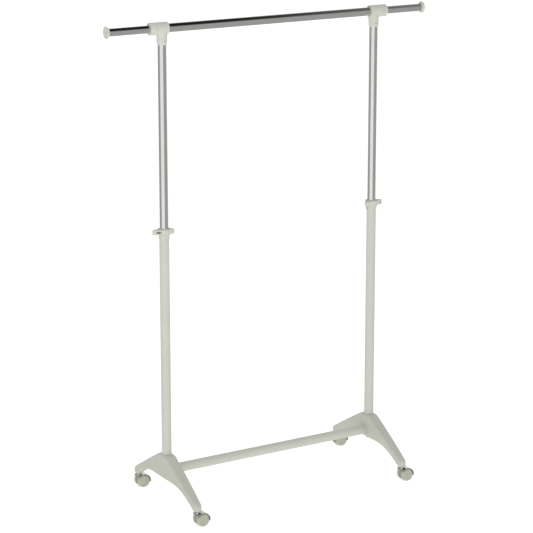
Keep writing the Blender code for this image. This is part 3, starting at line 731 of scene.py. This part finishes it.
def ball_at(turn):
    """The rolling ball's centre, at an angle round the stem."""
    away = STEM_R + TEE_FILLET
    below = BARREL_R + TEE_FILLET
    x, y = away * math.cos(turn), away * math.sin(turn)
    return Vector((x, y, -math.sqrt(below**2 - y**2)))


def fillet_arc(turn, steps=6):
    """Points on the ball from its contact with the barrel to its contact with the stem."""
    centre = ball_at(turn)
    shrink = BARREL_R / (BARREL_R + TEE_FILLET)
    touch_barrel = Vector((centre.x, centre.y * shrink, centre.z * shrink)) - centre
    touch_stem = Vector((STEM_R * math.cos(turn), STEM_R * math.sin(turn), centre.z)) - centre
    return [centre + touch_barrel.slerp(touch_stem, i / steps) for i in range(steps + 1)]


def patch_edge(k):
    """(column, row) of a grid point on the rim of the patch that holds the joint."""
    side, step = divmod(k, PATCH_SIDE)
    half = PATCH_SIDE // 2
    return ((PATCH_SIDE, step - half), (PATCH_SIDE - step, half), (0, half - step), (step, -half))[side]


def tee_skin():
    """The tee's closed outer surface about the bar's axis, longer towards +X."""
    shape = bmesh.new()
    half = PATCH_SIDE // 2
    grid = {}
    for column in range(PATCH_SIDE + 1):
        x = PATCH_HALF * (2 * column / PATCH_SIDE - 1)
        for row in range(-half, RING_STEPS - half):
            if abs(row) < half and 0 < column < PATCH_SIDE:
                continue
            grid[column, row] = shape.verts.new(on_barrel(x, row * FULL_TURN / RING_STEPS))
            grid[column, row + RING_STEPS] = grid[column, row]
    for column in range(PATCH_SIDE):
        for row in range(half, RING_STEPS - half):
            corners = [(column, row), (column + 1, row), (column + 1, row + 1), (column, row + 1)]
            shape.faces.new([grid[corner] for corner in corners])
    add_barrel_ends(shape, grid, half)
    add_stem(shape, grid)
    return shape


def add_barrel_ends(shape, grid, half):
    outer = eased([(PATCH_HALF, BARREL_R, 0), (BARREL_OUTER, BARREL_R, BARREL_EASE), (BARREL_OUTER, 0, 0)],
                  closed=False)
    spare = PATCH_HALF + END_RING
    inner = eased([(-PATCH_HALF, BARREL_R, 0), (-spare, BARREL_R, 0), (-spare, 0, 0)], closed=False)
    rows = range(-half, RING_STEPS - half)
    for column, profile in ((PATCH_SIDE, outer), (0, inner)):
        loops = [[grid[column, row] for row in rows]]
        for x, radius in profile[1:]:
            if radius < ON_AXIS_R:
                loops.append([shape.verts.new((x, 0, 0))])
                continue
            ring = [on_barrel(x, row * FULL_TURN / RING_STEPS, radius) for row in rows]
            loops.append([shape.verts.new(point) for point in ring])
        skin(shape, loops)


def add_stem(shape, grid):
    count = 4 * PATCH_SIDE
    turns = [FULL_TURN * (k / count - 1 / 8) for k in range(count)]
    fillets = [fillet_arc(turn) for turn in turns]
    rim = [grid[patch_edge(k)] for k in range(count)]
    loops = [rim]
    for ring in range(1, PATCH_RINGS):
        share = ring / PATCH_RINGS
        loop = []
        for k in range(count):
            column, row = patch_edge(k)
            x = PATCH_HALF * (2 * column / PATCH_SIDE - 1)
            angle = row * FULL_TURN / RING_STEPS
            target = fillets[k][0]
            target_angle = math.asin(target.y / BARREL_R)
            point = on_barrel(x + (target.x - x) * share, angle + (target_angle - angle) * share)
            loop.append(shape.verts.new(point))
        loops.append(loop)
    for step in range(len(fillets[0])):
        loops.append([shape.verts.new(fillets[k][step]) for k in range(count)])
    foot = eased([(STEM_R, STEM_PLAIN_Z, 0), (STEM_R, STEM_TAPER - STEM_BOTTOM, 3),
                  (STEM_FOOT_R, -STEM_BOTTOM, 0.8), (0, -STEM_BOTTOM, 0)], closed=False)
    for radius, height in foot[1:]:
        if radius < ON_AXIS_R:
            loops.append([shape.verts.new((0, 0, height))])
            continue
        ring = [(radius * math.cos(turn), radius * math.sin(turn), height) for turn in turns]
        loops.append([shape.verts.new(point) for point in ring])
    skin(shape, loops)


def bore(radius, mouth, end, axis):
    """A drill from a slightly flared mouth, which eases the hole's edge."""
    flare = radius + BORE_MOUTH
    points = [(0, mouth - FAR_PAST), (flare + FAR_PAST, mouth - FAR_PAST), (flare, mouth),
              (radius, mouth + BORE_MOUTH), (radius, end), (0, end)]
    return turned([Vector(point) for point in points], axis)


def inner_end():
    """The steps that trim the barrel flush beside the stem and give its end an eased ring."""
    trim = block((-BARREL_R - 2 * FAR_PAST, -TRIM_HALF, -2 * TRIM_HALF),
                 (BARREL_EASE - BARREL_INNER, TRIM_HALF, TRIM_HALF))
    ring = eased([(0, -BARREL_INNER, 0), (BARREL_R, -BARREL_INNER, BARREL_EASE),
                  (BARREL_R, END_RING - BARREL_INNER, 0), (0, END_RING - BARREL_INNER, 0)], closed=False)
    return [("DIFFERENCE", trim), ("UNION", turned(ring, ALONG_X, steps=RING_STEPS))]


def tee(side, sign):
    bar_bore = bore(BORE_R, -BARREL_INNER, BARREL_OUTER - TEE_STOP, ALONG_X)
    rod_bore = mirrored(bore(ROD_BORE_R, -BARREL_OUTER, 0, ALONG_X), -1)
    post_bore = bore(BORE_R, -STEM_BOTTOM, -STEM_BORE_TOP, ALONG_Z)
    bores = [("DIFFERENCE", bar_bore), ("DIFFERENCE", rod_bore), ("DIFFERENCE", post_bore)]
    shape = worked(tee_skin(), inner_end() + bores)
    mirrored(shape, sign)
    bmesh.ops.translate(shape, vec=(sign * POST_X, 0, BAR_Z), verts=shape.verts)
    return piece(f"tee_fitting_{side}", shape, FITTING_PLASTIC, "moulded_fittings", f"bar_tee_{side}")


for side, sign in SIDES.items():
    made = tee(side, sign)
    print(made.name, "has", len(made.data.polygons), "faces")

# %% [markdown]
# ## Screws
#
# Two pan-head screws pin each tee. The head is turned from a low dome, and the cross for the driver is
# cut with two thin bars that cross in the middle. The zinc-plated steel is coated in the colour of the
# frame, so that the screws hardly show.

# %% Screws
SCREW_HEAD_R = 3.1
SCREW_HEAD = 1.5
SCREW_SHANK_R = 1.6
DOME_INSET = 0.4
DOME_DROP = 0.25
RECESS_HALF = 1.9
RECESS_WIDTH = 0.75
RECESS_DEPTH = 0.8


def screw(name, node):
    low, high = box_mm(node)
    centre = (low + high) / 2
    face = low.y
    seat = face + SCREW_HEAD
    corners = [(0, face, 0), (SCREW_HEAD_R - DOME_INSET, face + DOME_DROP, 1.2), (SCREW_HEAD_R, seat, 0.1),
               (SCREW_SHANK_R, seat, 0), (SCREW_SHANK_R, high.y, 0.3), (0, high.y, 0)]
    at = (centre.x, 0, centre.z)
    shape = turned(eased(corners, closed=False), ALONG_Y, at, SMALL_TURN_STEPS)
    cuts = []
    for half_x, half_z in ((RECESS_HALF, RECESS_WIDTH / 2), (RECESS_WIDTH / 2, RECESS_HALF)):
        bar_low = (centre.x - half_x, face - 1, centre.z - half_z)
        bar_high = (centre.x + half_x, face + RECESS_DEPTH, centre.z + half_z)
        cuts.append(("DIFFERENCE", block(bar_low, bar_high)))
    return piece(name, worked(shape, cuts), POWDER_COAT, "zinc_plate", node)


for side in SIDES:
    for place in ("bar", "post"):
        screw(f"tee_screw_{place}_{side}", f"{place}_screw_{side}")
print("screws made: 4")

# %% [markdown]
# ## End caps
#
# A cap closes each end of the bar and keeps hangers on. It has a rim wider than the tube, a cone behind
# it that stiffens the rim, and a flat face with a shallow ring, where the mould had its insert.

# %% End caps
CAP_RIM_R = 17.4
CAP_RIM = 3.5
CAP_FACE = 3.2
CAP_EDGE = 1.2
CAP_NECK_R = 12.9
CAP_SHOULDER_R = 15.2
CAP_BORE_R = 11.4
CAP_BACK = 0.8
CAP_RING_R = 11.0
CAP_RING = 0.35
CAP_RING_TOP_HALF = 0.8
CAP_RING_FLOOR_HALF = 0.4


def end_cap(side, sign):
    node = f"end_cap_{side}"
    low, high = box_mm(node)
    near, far = sorted((abs(low.x), abs(high.x)))
    flange = far - CAP_RIM
    rod_end = far - CAP_FACE
    corners = [
        (0, rod_end, 0), (CAP_BORE_R, rod_end, 0), (CAP_BORE_R, near, 0.2), (CAP_NECK_R, near, 0.5),
        (CAP_SHOULDER_R, flange - CAP_BACK, 0.6), (CAP_RIM_R, flange, CAP_EDGE), (CAP_RIM_R, far, CAP_EDGE),
        (CAP_RING_R + CAP_RING_TOP_HALF, far, 0.2), (CAP_RING_R + CAP_RING_FLOOR_HALF, far - CAP_RING, 0.1),
        (CAP_RING_R - CAP_RING_FLOOR_HALF, far - CAP_RING, 0.1), (CAP_RING_R - CAP_RING_TOP_HALF, far, 0.2),
        (0, far, 0),
    ]
    shape = mirrored(turned(eased(corners, closed=False), ALONG_X), sign)
    bmesh.ops.translate(shape, vec=(0, 0, BAR_Z), verts=shape.verts)
    return piece(f"bar_end_cap_{side}", shape, FITTING_PLASTIC, "moulded_fittings", node)


for side, sign in SIDES.items():
    made = end_cap(side, sign)
    print(made.name, "has", len(made.data.polygons), "faces")

# %% [markdown]
# ## Feet
#
# Each foot is a wishbone: two arms that fall from the leg to a caster at each end, with an arch between.
# The outline is smooth in every direction, so the foot is lofted: a row of rounded sections from the
# front tip to the back one. Three short formulas give each section's top, underside and half width.
# A sculpted block could look the same, but formulas keep both arms alike and can be read.

# %% Feet
FOOT_TOP_Z = 163.0
FOOT_UNDER_Z = 90.0
FOOT_HALF_WIDTH = 18.0
SHOULDER_Y = 21.0
TIP_Y = 195.0
TIP_TOP_Z = 63.0
TIP_UNDER_Z = 44.0
TIP_HALF_WIDTH = 10.5
TIP_ROUND_Y = 9.0
TIP_ROUND_Z = 7.0
ARCH_FLAT_Y = 60.0
ARCH_END_Y = 176.0
ARCH_POWER = 1.9
FOOT_EDGE_R = 6.5
ARM_STEPS = 44
TIP_STEPS = 9
TIP_TURN = math.radians(84)
EDGE_SHARE = 0.8
EDGE_STEPS = 9
SHOULDER_SOFT = SHOULDER_Y / 4
STEM_Y = 184.0
STEM_HOLE_R = 5.9
STEM_HOLE_SPAN = (30, 58.3)
TUBE_HOLE_R = 14.6
POST_SOCKET_Z = 131.0
SOCKET_MOUTH = 0.8
CROSSBAR_HOLE_SPAN = (-40, 10.3)
BOLT_HOLE_R = 4.3
BOLT_HOLE_SPAN = (80, 136)


def round_off(distance, length, depth):
    """How far a quarter ellipse has dropped at a distance into its length."""
    share = min(max(distance / length, 0), 1)
    return depth * (1 - math.sqrt(1 - share**2))


def foot_top(y):
    slope = (FOOT_TOP_Z - TIP_TOP_Z) / (TIP_Y - SHOULDER_Y)
    past = y - SHOULDER_Y
    softened = (past + math.hypot(past, SHOULDER_SOFT)) / 2
    return FOOT_TOP_Z - slope * softened - round_off(y - TIP_Y + TIP_ROUND_Z, TIP_ROUND_Z, TIP_ROUND_Z)


def foot_under(y):
    share = min(max((y - ARCH_FLAT_Y) / (ARCH_END_Y - ARCH_FLAT_Y), 0), 1)
    return FOOT_UNDER_Z - (FOOT_UNDER_Z - TIP_UNDER_Z) * share**ARCH_POWER


def foot_half_width(y):
    swell = (FOOT_HALF_WIDTH - TIP_HALF_WIDTH) * (1 - (y / TIP_Y) ** 2)
    return TIP_HALF_WIDTH + swell - round_off(y - TIP_Y + TIP_ROUND_Y, TIP_ROUND_Y, TIP_HALF_WIDTH)


def foot_section(y):
    half, low, high = foot_half_width(y), foot_under(y), foot_top(y)
    edge = min(FOOT_EDGE_R, half * EDGE_SHARE)
    corners = [(half, low, edge), (half, high, edge), (-half, high, edge), (-half, low, edge)]
    return eased(corners, steps=EDGE_STEPS)


def foot_stations():
    last = TIP_Y - TIP_ROUND_Y
    arm = [last * i / ARM_STEPS for i in range(ARM_STEPS)]
    turns = [TIP_TURN * i / TIP_STEPS for i in range(TIP_STEPS + 1)]
    return arm + [last + TIP_ROUND_Y * math.sin(turn) for turn in turns]


def post_socket():
    """The leg's hole, with a flared mouth. The flare is as wide as it is high."""
    mouth, over = FOOT_TOP_Z - SOCKET_MOUTH, FOOT_TOP_Z + FAR_PAST - SOCKET_MOUTH
    profile = [(0, POST_SOCKET_Z), (TUBE_HOLE_R, POST_SOCKET_Z), (TUBE_HOLE_R, mouth),
               (TUBE_HOLE_R + FAR_PAST, over), (0, over)]
    return turned([Vector(point) for point in profile])


def foot(side, sign):
    stations = foot_stations()
    along = [-y for y in reversed(stations[1:])] + stations
    shape = bmesh.new()
    loops = []
    for y in along:
        loops.append([shape.verts.new((x, y, z)) for x, z in foot_section(abs(y))])
    skin(shape, loops)
    shape.faces.new(loops[0])
    shape.faces.new(loops[-1])
    holes = [post_socket(), drill(TUBE_HOLE_R, *CROSSBAR_HOLE_SPAN, ALONG_X, (0, 0, CROSSBAR_Z)),
             drill(BOLT_HOLE_R, *BOLT_HOLE_SPAN, steps=SMALL_TURN_STEPS)]
    for way in ENDS.values():
        holes.append(drill(STEM_HOLE_R, *STEM_HOLE_SPAN, at=(0, way * STEM_Y, 0), steps=SMALL_TURN_STEPS))
    made = worked(shape, [("DIFFERENCE", hole) for hole in holes])
    mirrored(made, sign)
    bmesh.ops.translate(made, vec=(sign * POST_X, 0, 0), verts=made.verts)
    return piece(f"wishbone_foot_{side}", made, FOOT_PLASTIC, "moulded_feet", f"foot_{side}")


for side, sign in SIDES.items():
    made = foot(side, sign)
    print(made.name, "has", len(made.data.polygons), "faces")

# %% [markdown]
# ## Frame bolts
#
# A socket-head bolt comes up through each foot and the crossbar's end into the leg. Only its head shows,
# under the foot, with a six-sided recess for a key.

# %% Frame bolts
BOLT_R = 4.0
BOLT_HEAD_R = 7.2
BOLT_HEAD = 5.6
HEX_KEY_R = 3.4
HEX_KEY_DEPTH = 3.2
HEX_SIDES = 6
SHORT_PAST = 2


def frame_bolt(side, sign):
    node = f"frame_bolt_{side}"
    low, high = box_mm(node)
    seat = low.z + BOLT_HEAD
    corners = [(0, low.z, 0), (BOLT_HEAD_R, low.z, 1.1), (BOLT_HEAD_R, seat, 0.3), (BOLT_R, seat, 0),
               (BOLT_R, high.z, 0.9), (0, high.z, 0)]
    at = (sign * POST_X, 0, 0)
    key = drill(HEX_KEY_R, low.z - SHORT_PAST, low.z + HEX_KEY_DEPTH, at=at, steps=HEX_SIDES)
    bolt = turned(eased(corners, closed=False), at=at, steps=SMALL_TURN_STEPS)
    shape = worked(bolt, [("DIFFERENCE", key)])
    return piece(f"foot_bolt_{side}", shape, ZINC_PLATE, "zinc_plate", node)


for side, sign in SIDES.items():
    frame_bolt(side, sign)
print("bolts made: 2")

# %% [markdown]
# ## Casters
#
# Each caster has two wheels on one axle, with a plated hood arched over both and a web between them that
# carries the stem. The stem stands beside the axle, not over it, so the wheels trail when the rack is
# pushed. The hood is a flat-sided band bent round the axle: its section is eased first and then swept
# through part of a turn. Wheels are turned, with a shallow ring and a small boss on the outer face.

# %% Caster sizes
TRAIL = 11.5
WHEEL_R = 19.5
WHEEL_INNER_Y = 4.5
WHEEL_OUTER_Y = 19.0
HOOD_INNER_R = 20.3
HOOD_OUTER_R = 22.0
HOOD_HALF = 18.4
HOOD_FROM = math.radians(-12)
HOOD_TO = math.radians(142)
HOOD_STEPS = 40
WEB_HALF = 4.0
WEB_TO = math.radians(178)
WEB_HUB_R = 6.5
WEB_INTO_HOOD = 0.8
WEB_STEP_R = 2.4
WEB_EASE = 0.5
WEB_GAP = 0.1
WEB_HUB_END = 0.3
BOSS_R = 7.0
BOSS_BOTTOM_Z = 38.4
BOSS_TOP_Z = 41.5
TAIL_R = 2.4
TAIL_BOTTOM_Z = 27.0
AXLE_R = 2.0
AXLE_HALF = 16.6
STEM_FLANGE = 1.8
STEM_SHANK_R = 4.0
SOCKET_BORE_R = 4.3
STEM_TURN_STEPS = 64
HUB_PIN_R = AXLE_R + FIT
# The wheel's outer face, then its inner face: radius, depth below that face, and corner radius.
WHEEL_FACE = ((0, 0, 0), (4.6, 0, 0.5), (5.2, 0.7, 0.3), (12.6, 0.9, 0.3), (13.2, 0.3, 0.3),
              (15.0, 0.6, 1.5), (18.1, 2.4, 1.5), (WHEEL_R, 5.0, 2.0))
WHEEL_BACK = ((WHEEL_R, 0, 1.4), (15.5, 0, 0.4), (15.0, 3.0, 0.4), (5.6, 3.0, 0.4), (5.0, 0, 0.4))
print("wheels", 2 * WHEEL_R, "mm across, trailing", TRAIL, "mm")

# %% Hood, web and boss
def hood_band():
    """The arched shell, about the axle, with every edge eased."""
    section = eased([(HOOD_INNER_R, -HOOD_HALF, 0.6), (HOOD_OUTER_R, -HOOD_HALF, 0.7),
                     (HOOD_OUTER_R, HOOD_HALF, 0.7), (HOOD_INNER_R, HOOD_HALF, 0.6)], steps=3)
    shape = bmesh.new()
    loops = []
    for i in range(HOOD_STEPS + 1):
        turn = HOOD_FROM + (HOOD_TO - HOOD_FROM) * i / HOOD_STEPS
        loops.append([shape.verts.new((r * math.cos(turn), y, r * math.sin(turn))) for r, y in section])
    skin(shape, loops)
    shape.faces.new(loops[0])
    shape.faces.new(loops[-1])
    return shape


def web_plate():
    """The plate between the wheels: a fan under the shell, down to a hub round the axle."""
    rim = HOOD_INNER_R + WEB_INTO_HOOD
    outline = arc(rim, HOOD_FROM + WEB_GAP, HOOD_TO, 24) + arc(rim - WEB_STEP_R, HOOD_TO + WEB_GAP, WEB_TO, 6)
    outline += arc(WEB_HUB_R, math.pi, FULL_TURN - WEB_HUB_END, 12)
    plate = pushed(outline, -WEB_HALF, WEB_HALF, WEB_EASE)
    bmesh.ops.rotate(plate, matrix=Matrix.Rotation(math.pi / 2, 3, "X"), verts=plate.verts)
    return plate


def hood(name, at):
    axle = Vector(at) + Vector((TRAIL, 0, WHEEL_R))
    band, web = hood_band(), web_plate()
    for shape in (band, web):
        bmesh.ops.translate(shape, vec=axle, verts=shape.verts)
    boss = turned(eased([(0, BOSS_BOTTOM_Z, 0), (BOSS_R, BOSS_BOTTOM_Z, 0), (BOSS_R, BOSS_TOP_Z, 0.5),
                         (0, BOSS_TOP_Z, 0)], closed=False), at=at)
    tail = drill(TAIL_R + FIT, TAIL_BOTTOM_Z - FIT, BOSS_TOP_Z + FAR_PAST, at=at, steps=SMALL_TURN_STEPS)
    pin = drill(HUB_PIN_R, -FAR_PAST, FAR_PAST, ALONG_Y, axle, SMALL_TURN_STEPS)
    steps = [("UNION", web), ("UNION", boss), ("DIFFERENCE", tail), ("DIFFERENCE", pin)]
    return piece(f"{name}_chrome_hood", worked(band, steps), CHROME_HOOD, "chrome_hood", f"{name}_hood")


# %% Stem, socket, axle and wheels
def stem(name, at):
    low, high = box_mm(f"{name}_stem")
    flange = BOSS_TOP_Z + FIT
    corners = [(0, low.z, 0), (TAIL_R, low.z, 0.4), (TAIL_R, flange, 0), (BOSS_R, flange, 0.3),
               (BOSS_R, flange + STEM_FLANGE, 0.4), (STEM_SHANK_R, flange + STEM_FLANGE, 0),
               (STEM_SHANK_R, high.z, 0.9), (0, high.z, 0)]
    shape = turned(eased(corners, closed=False), at=at, steps=STEM_TURN_STEPS)
    return piece(f"{name}_swivel_stem", shape, ZINC_PLATE, "zinc_plate", f"{name}_stem")


def socket(name, at):
    low, high = box_mm(f"{name}_socket")
    outer = (high.x - low.x) / 2
    corners = [(SOCKET_BORE_R, low.z, 0.3), (outer, low.z, 0.2), (outer, high.z, 0.3),
               (SOCKET_BORE_R, high.z, 0.3)]
    shape = turned(eased(corners, steps=2), at=at, steps=STEM_TURN_STEPS)
    return piece(f"{name}_stem_socket", shape, DARK_PLASTIC, "hidden_plastic", f"{name}_socket")


def axle(name, at):
    corners = [(0, -AXLE_HALF, 0), (AXLE_R, -AXLE_HALF, 0.4), (AXLE_R, AXLE_HALF, 0.4), (0, AXLE_HALF, 0)]
    shape = turned(eased(corners, closed=False, steps=2), ALONG_Y, at, SMALL_TURN_STEPS)
    return piece(f"{name}_wheel_axle", shape, ZINC_PLATE, "zinc_plate", f"{name}_axle")


def wheel(name, place, facing, at):
    corners = [(radius, WHEEL_OUTER_Y - depth, edge) for radius, depth, edge in WHEEL_FACE]
    corners += [(radius, WHEEL_INNER_Y + depth, edge) for radius, depth, edge in WHEEL_BACK]
    corners += [(HUB_PIN_R, WHEEL_INNER_Y, 0.3), (HUB_PIN_R, AXLE_HALF + FIT, 0), (0, AXLE_HALF + FIT, 0)]
    shape = turned(eased(corners, closed=False, steps=3), ALONG_Y)
    bmesh.ops.scale(shape, vec=(1, facing, 1), verts=shape.verts)
    bmesh.ops.translate(shape, vec=at, verts=shape.verts)
    return piece(f"{name}_roller_{place}", shape, WHEEL_PLASTIC, "wheel_plastic", f"{name}_wheel_{place}")


# %% Four casters
for side, sign in SIDES.items():
    for end in ENDS:
        name = f"caster_{end}_{side}"
        stem_at = middle_mm(f"{name}_stem")
        stem_at.z = 0
        axle_at = stem_at + Vector((TRAIL, 0, WHEEL_R))
        hood(name, stem_at)
        stem(name, stem_at)
        socket(name, stem_at)
        axle(name, axle_at)
        for place, facing in ENDS.items():
            wheel(name, place, facing, axle_at)
print("pieces so far:", len(made_pieces))

# %% [markdown]
# ## Floor, studio and lights
#
# A product shot on white is lit by large, soft sources. The floor is a pale card that glows slightly,
# as a lit table does, so that only a faint shadow is left under the wheels. Chrome has no colour of its own
# and shows the room, so the room matters: the world has a pale wall in front and one behind, grey sides
# and a dark ceiling, which draw the light and dark bands down a tube. Diffuse surfaces see a plain
# soft sky.

# %% Floor
def pale_floor():
    made, tree, shader, place = new_finish("matt_white_card")
    fibres = grain(tree, place, size_mm=3.0).outputs["Fac"]
    spread = add(tree, "ShaderNodeMapRange", {"Value": fibres, **NOISE_SPAN, "To Min": 0.85, "To Max": 0.95})
    tree.links.new(spread.outputs["Result"], shader.inputs["Roughness"])
    shader.inputs["Base Color"].default_value = colour("#f4f4f2")
    shader.inputs["Specular IOR Level"].default_value = 0.1
    shader.inputs["Emission Color"].default_value = colour("#ffffff")
    shader.inputs["Emission Strength"].default_value = 0.5
    return made


FLOOR_HALF = 12.0
floor_shape = bmesh.new()
bmesh.ops.create_grid(floor_shape, x_segments=2, y_segments=2, size=FLOOR_HALF)
floor_mesh = bpy.data.meshes.new("floor")
floor_shape.to_mesh(floor_mesh)
floor_shape.free()
floor_mesh.materials.append(pale_floor())
floor = bpy.data.objects.new("floor", floor_mesh)
bpy.context.scene.collection.objects.link(floor)
floor.visible_glossy = False
print("floor", 2 * FLOOR_HALF, "m square")

# %% World
SKY_FROM_ABOVE = 0.67
SKY_FROM_BELOW = 0.59
WALL_BRIGHT = 0.93
ROOM_GREY = 0.38
BEHIND_BRIGHT = 0.8
UP = (0, 0, 1)
TOWARDS_RIGHT = (1, 0, 0)
TOWARDS_FRONT_LEFT = (-0.515, -0.857, 0)
TOWARDS_WALL = (-0.701, -0.713, 0)
TOWARDS_CEILING = (0, -0.156, 0.988)
# Each patch of the room ends softly, between these two leanings towards its direction.
WALL_EDGE = (0.69, 0.81)
BEHIND_EDGE = (-0.5, -0.8)
BEHIND_FOOT = (-0.45, -0.2)
CEILING_EDGE = (0.34, 0.75)
CEILING_TONE_EDGE = (0.495, 0.61)
CEILING_TONES = (0.012, 0.25)
SKY_EDGE = (-0.5, 0.5)


def leaning(tree, look, direction, edge, tones=(0.0, 1.0)):
    """One tone to another, softly, as a view direction leans further towards another direction."""
    lean = add(tree, "ShaderNodeVectorMath", {0: look, 1: direction}, operation="DOT_PRODUCT")
    ramp = add(tree, "ShaderNodeMapRange", {"Value": lean.outputs["Value"], "From Min": edge[0],
                                            "From Max": edge[1], "To Min": tones[0], "To Max": tones[1]},
               interpolation_type="SMOOTHSTEP")
    return ramp.outputs["Result"]


def room_in_chrome(tree, look):
    """How bright the room is in each direction, as polished metal sees it."""
    flat = add(tree, "ShaderNodeVectorMath", {0: look, 1: (1, 1, 0)}, operation="MULTIPLY")
    bearing = add(tree, "ShaderNodeVectorMath", {0: flat.outputs["Vector"]}, operation="NORMALIZE")
    bearing = bearing.outputs["Vector"]
    wall = leaning(tree, bearing, TOWARDS_WALL, WALL_EDGE)
    behind = leaning(tree, bearing, TOWARDS_FRONT_LEFT, BEHIND_EDGE, (0.0, BEHIND_BRIGHT))
    foot_of_wall = leaning(tree, look, UP, BEHIND_FOOT)
    behind = add(tree, "ShaderNodeMath", {0: behind, 1: foot_of_wall}, operation="MULTIPLY")
    walls = add(tree, "ShaderNodeMix", {"Factor": wall, "A": ROOM_GREY, "B": WALL_BRIGHT})
    walls = add(tree, "ShaderNodeMath", {0: walls.outputs["Result"], 1: behind.outputs["Value"]},
                operation="MAXIMUM")
    tone = leaning(tree, look, TOWARDS_RIGHT, CEILING_TONE_EDGE, CEILING_TONES)
    ceiling = leaning(tree, look, TOWARDS_CEILING, CEILING_EDGE)
    room = add(tree, "ShaderNodeMix", {"Factor": ceiling, "A": walls.outputs["Value"], "B": tone})
    return room.outputs["Result"]


def studio_world():
    world = bpy.data.worlds.new("studio")
    world.use_nodes = True
    tree = world.node_tree
    tree.nodes.clear()
    look = add(tree, "ShaderNodeTexCoord").outputs["Generated"]
    sky = leaning(tree, look, UP, SKY_EDGE, (SKY_FROM_BELOW, SKY_FROM_ABOVE))
    path = add(tree, "ShaderNodeLightPath")
    lit = add(tree, "ShaderNodeMix", {"Factor": path.outputs["Is Glossy Ray"], "A": sky,
                                      "B": room_in_chrome(tree, look)}).outputs["Result"]
    seen = add(tree, "ShaderNodeMix", {"Factor": path.outputs["Is Camera Ray"], "A": lit,
                                       "B": 1.0}).outputs["Result"]
    shade = add(tree, "ShaderNodeCombineColor", {"Red": seen, "Green": seen, "Blue": seen})
    background = add(tree, "ShaderNodeBackground", {"Color": shade.outputs["Color"]})
    add(tree, "ShaderNodeOutputWorld", {"Surface": background.outputs["Background"]})
    bpy.context.scene.world = world


studio_world()
bpy.context.scene.view_settings.view_transform = "Standard"
print("world:", bpy.context.scene.world.name)

# %% Lights
def soft_light(name, at, aim, size, watts):
    lamp = bpy.data.lights.new(name, "AREA")
    lamp.shape = "SQUARE"
    lamp.size = size
    lamp.energy = watts
    obj = bpy.data.objects.new(name, lamp)
    bpy.context.scene.collection.objects.link(obj)
    obj.location = at
    obj.rotation_euler = (Vector(aim) - Vector(at)).to_track_quat("-Z", "Y").to_euler()
    obj.visible_glossy = False


soft_light("key_light", at=(-2.2, -3.4, 2.6), aim=(0, 0, 0.8), size=2.2, watts=27)
soft_light("bar_light", at=(-1.5, -1.3, 2.2), aim=(-0.36, 0, BAR_Z * MM), size=0.6, watts=3)
print("lights made: 2")

# %% [markdown]
# ## Camera
#
# The rack is seen from the front left and from a little above the bar, with a long lens, so that its
# uprights stay nearly parallel. A small downward shift of the lens frames the feet without tilting
# the camera further.

# %% Camera
CAMERA_AT = Vector((-3.002, -4.969, 2.216))
CAMERA_TURN = 0.54126
CAMERA_DIP = 0.23151
CAMERA_LENS = 136.1
CAMERA_SHIFT = -0.1
SENSOR_WIDTH = 36
CLIP_NEAR, CLIP_FAR = 0.1, 100


def add_camera():
    data = bpy.data.cameras.new("camera")
    data.lens = CAMERA_LENS
    data.sensor_width = SENSOR_WIDTH
    data.shift_y = CAMERA_SHIFT
    data.clip_start = CLIP_NEAR
    data.clip_end = CLIP_FAR
    camera = bpy.data.objects.new("camera", data)
    bpy.context.scene.collection.objects.link(camera)
    camera.location = CAMERA_AT
    level = math.cos(CAMERA_DIP)
    forward = Vector((math.sin(CAMERA_TURN) * level, math.cos(CAMERA_TURN) * level, -math.sin(CAMERA_DIP)))
    camera.rotation_euler = forward.to_track_quat("-Z", "Y").to_euler()
    bpy.context.scene.camera = camera


add_camera()
print("camera", round(CAMERA_AT.length, 2), "m from the origin")
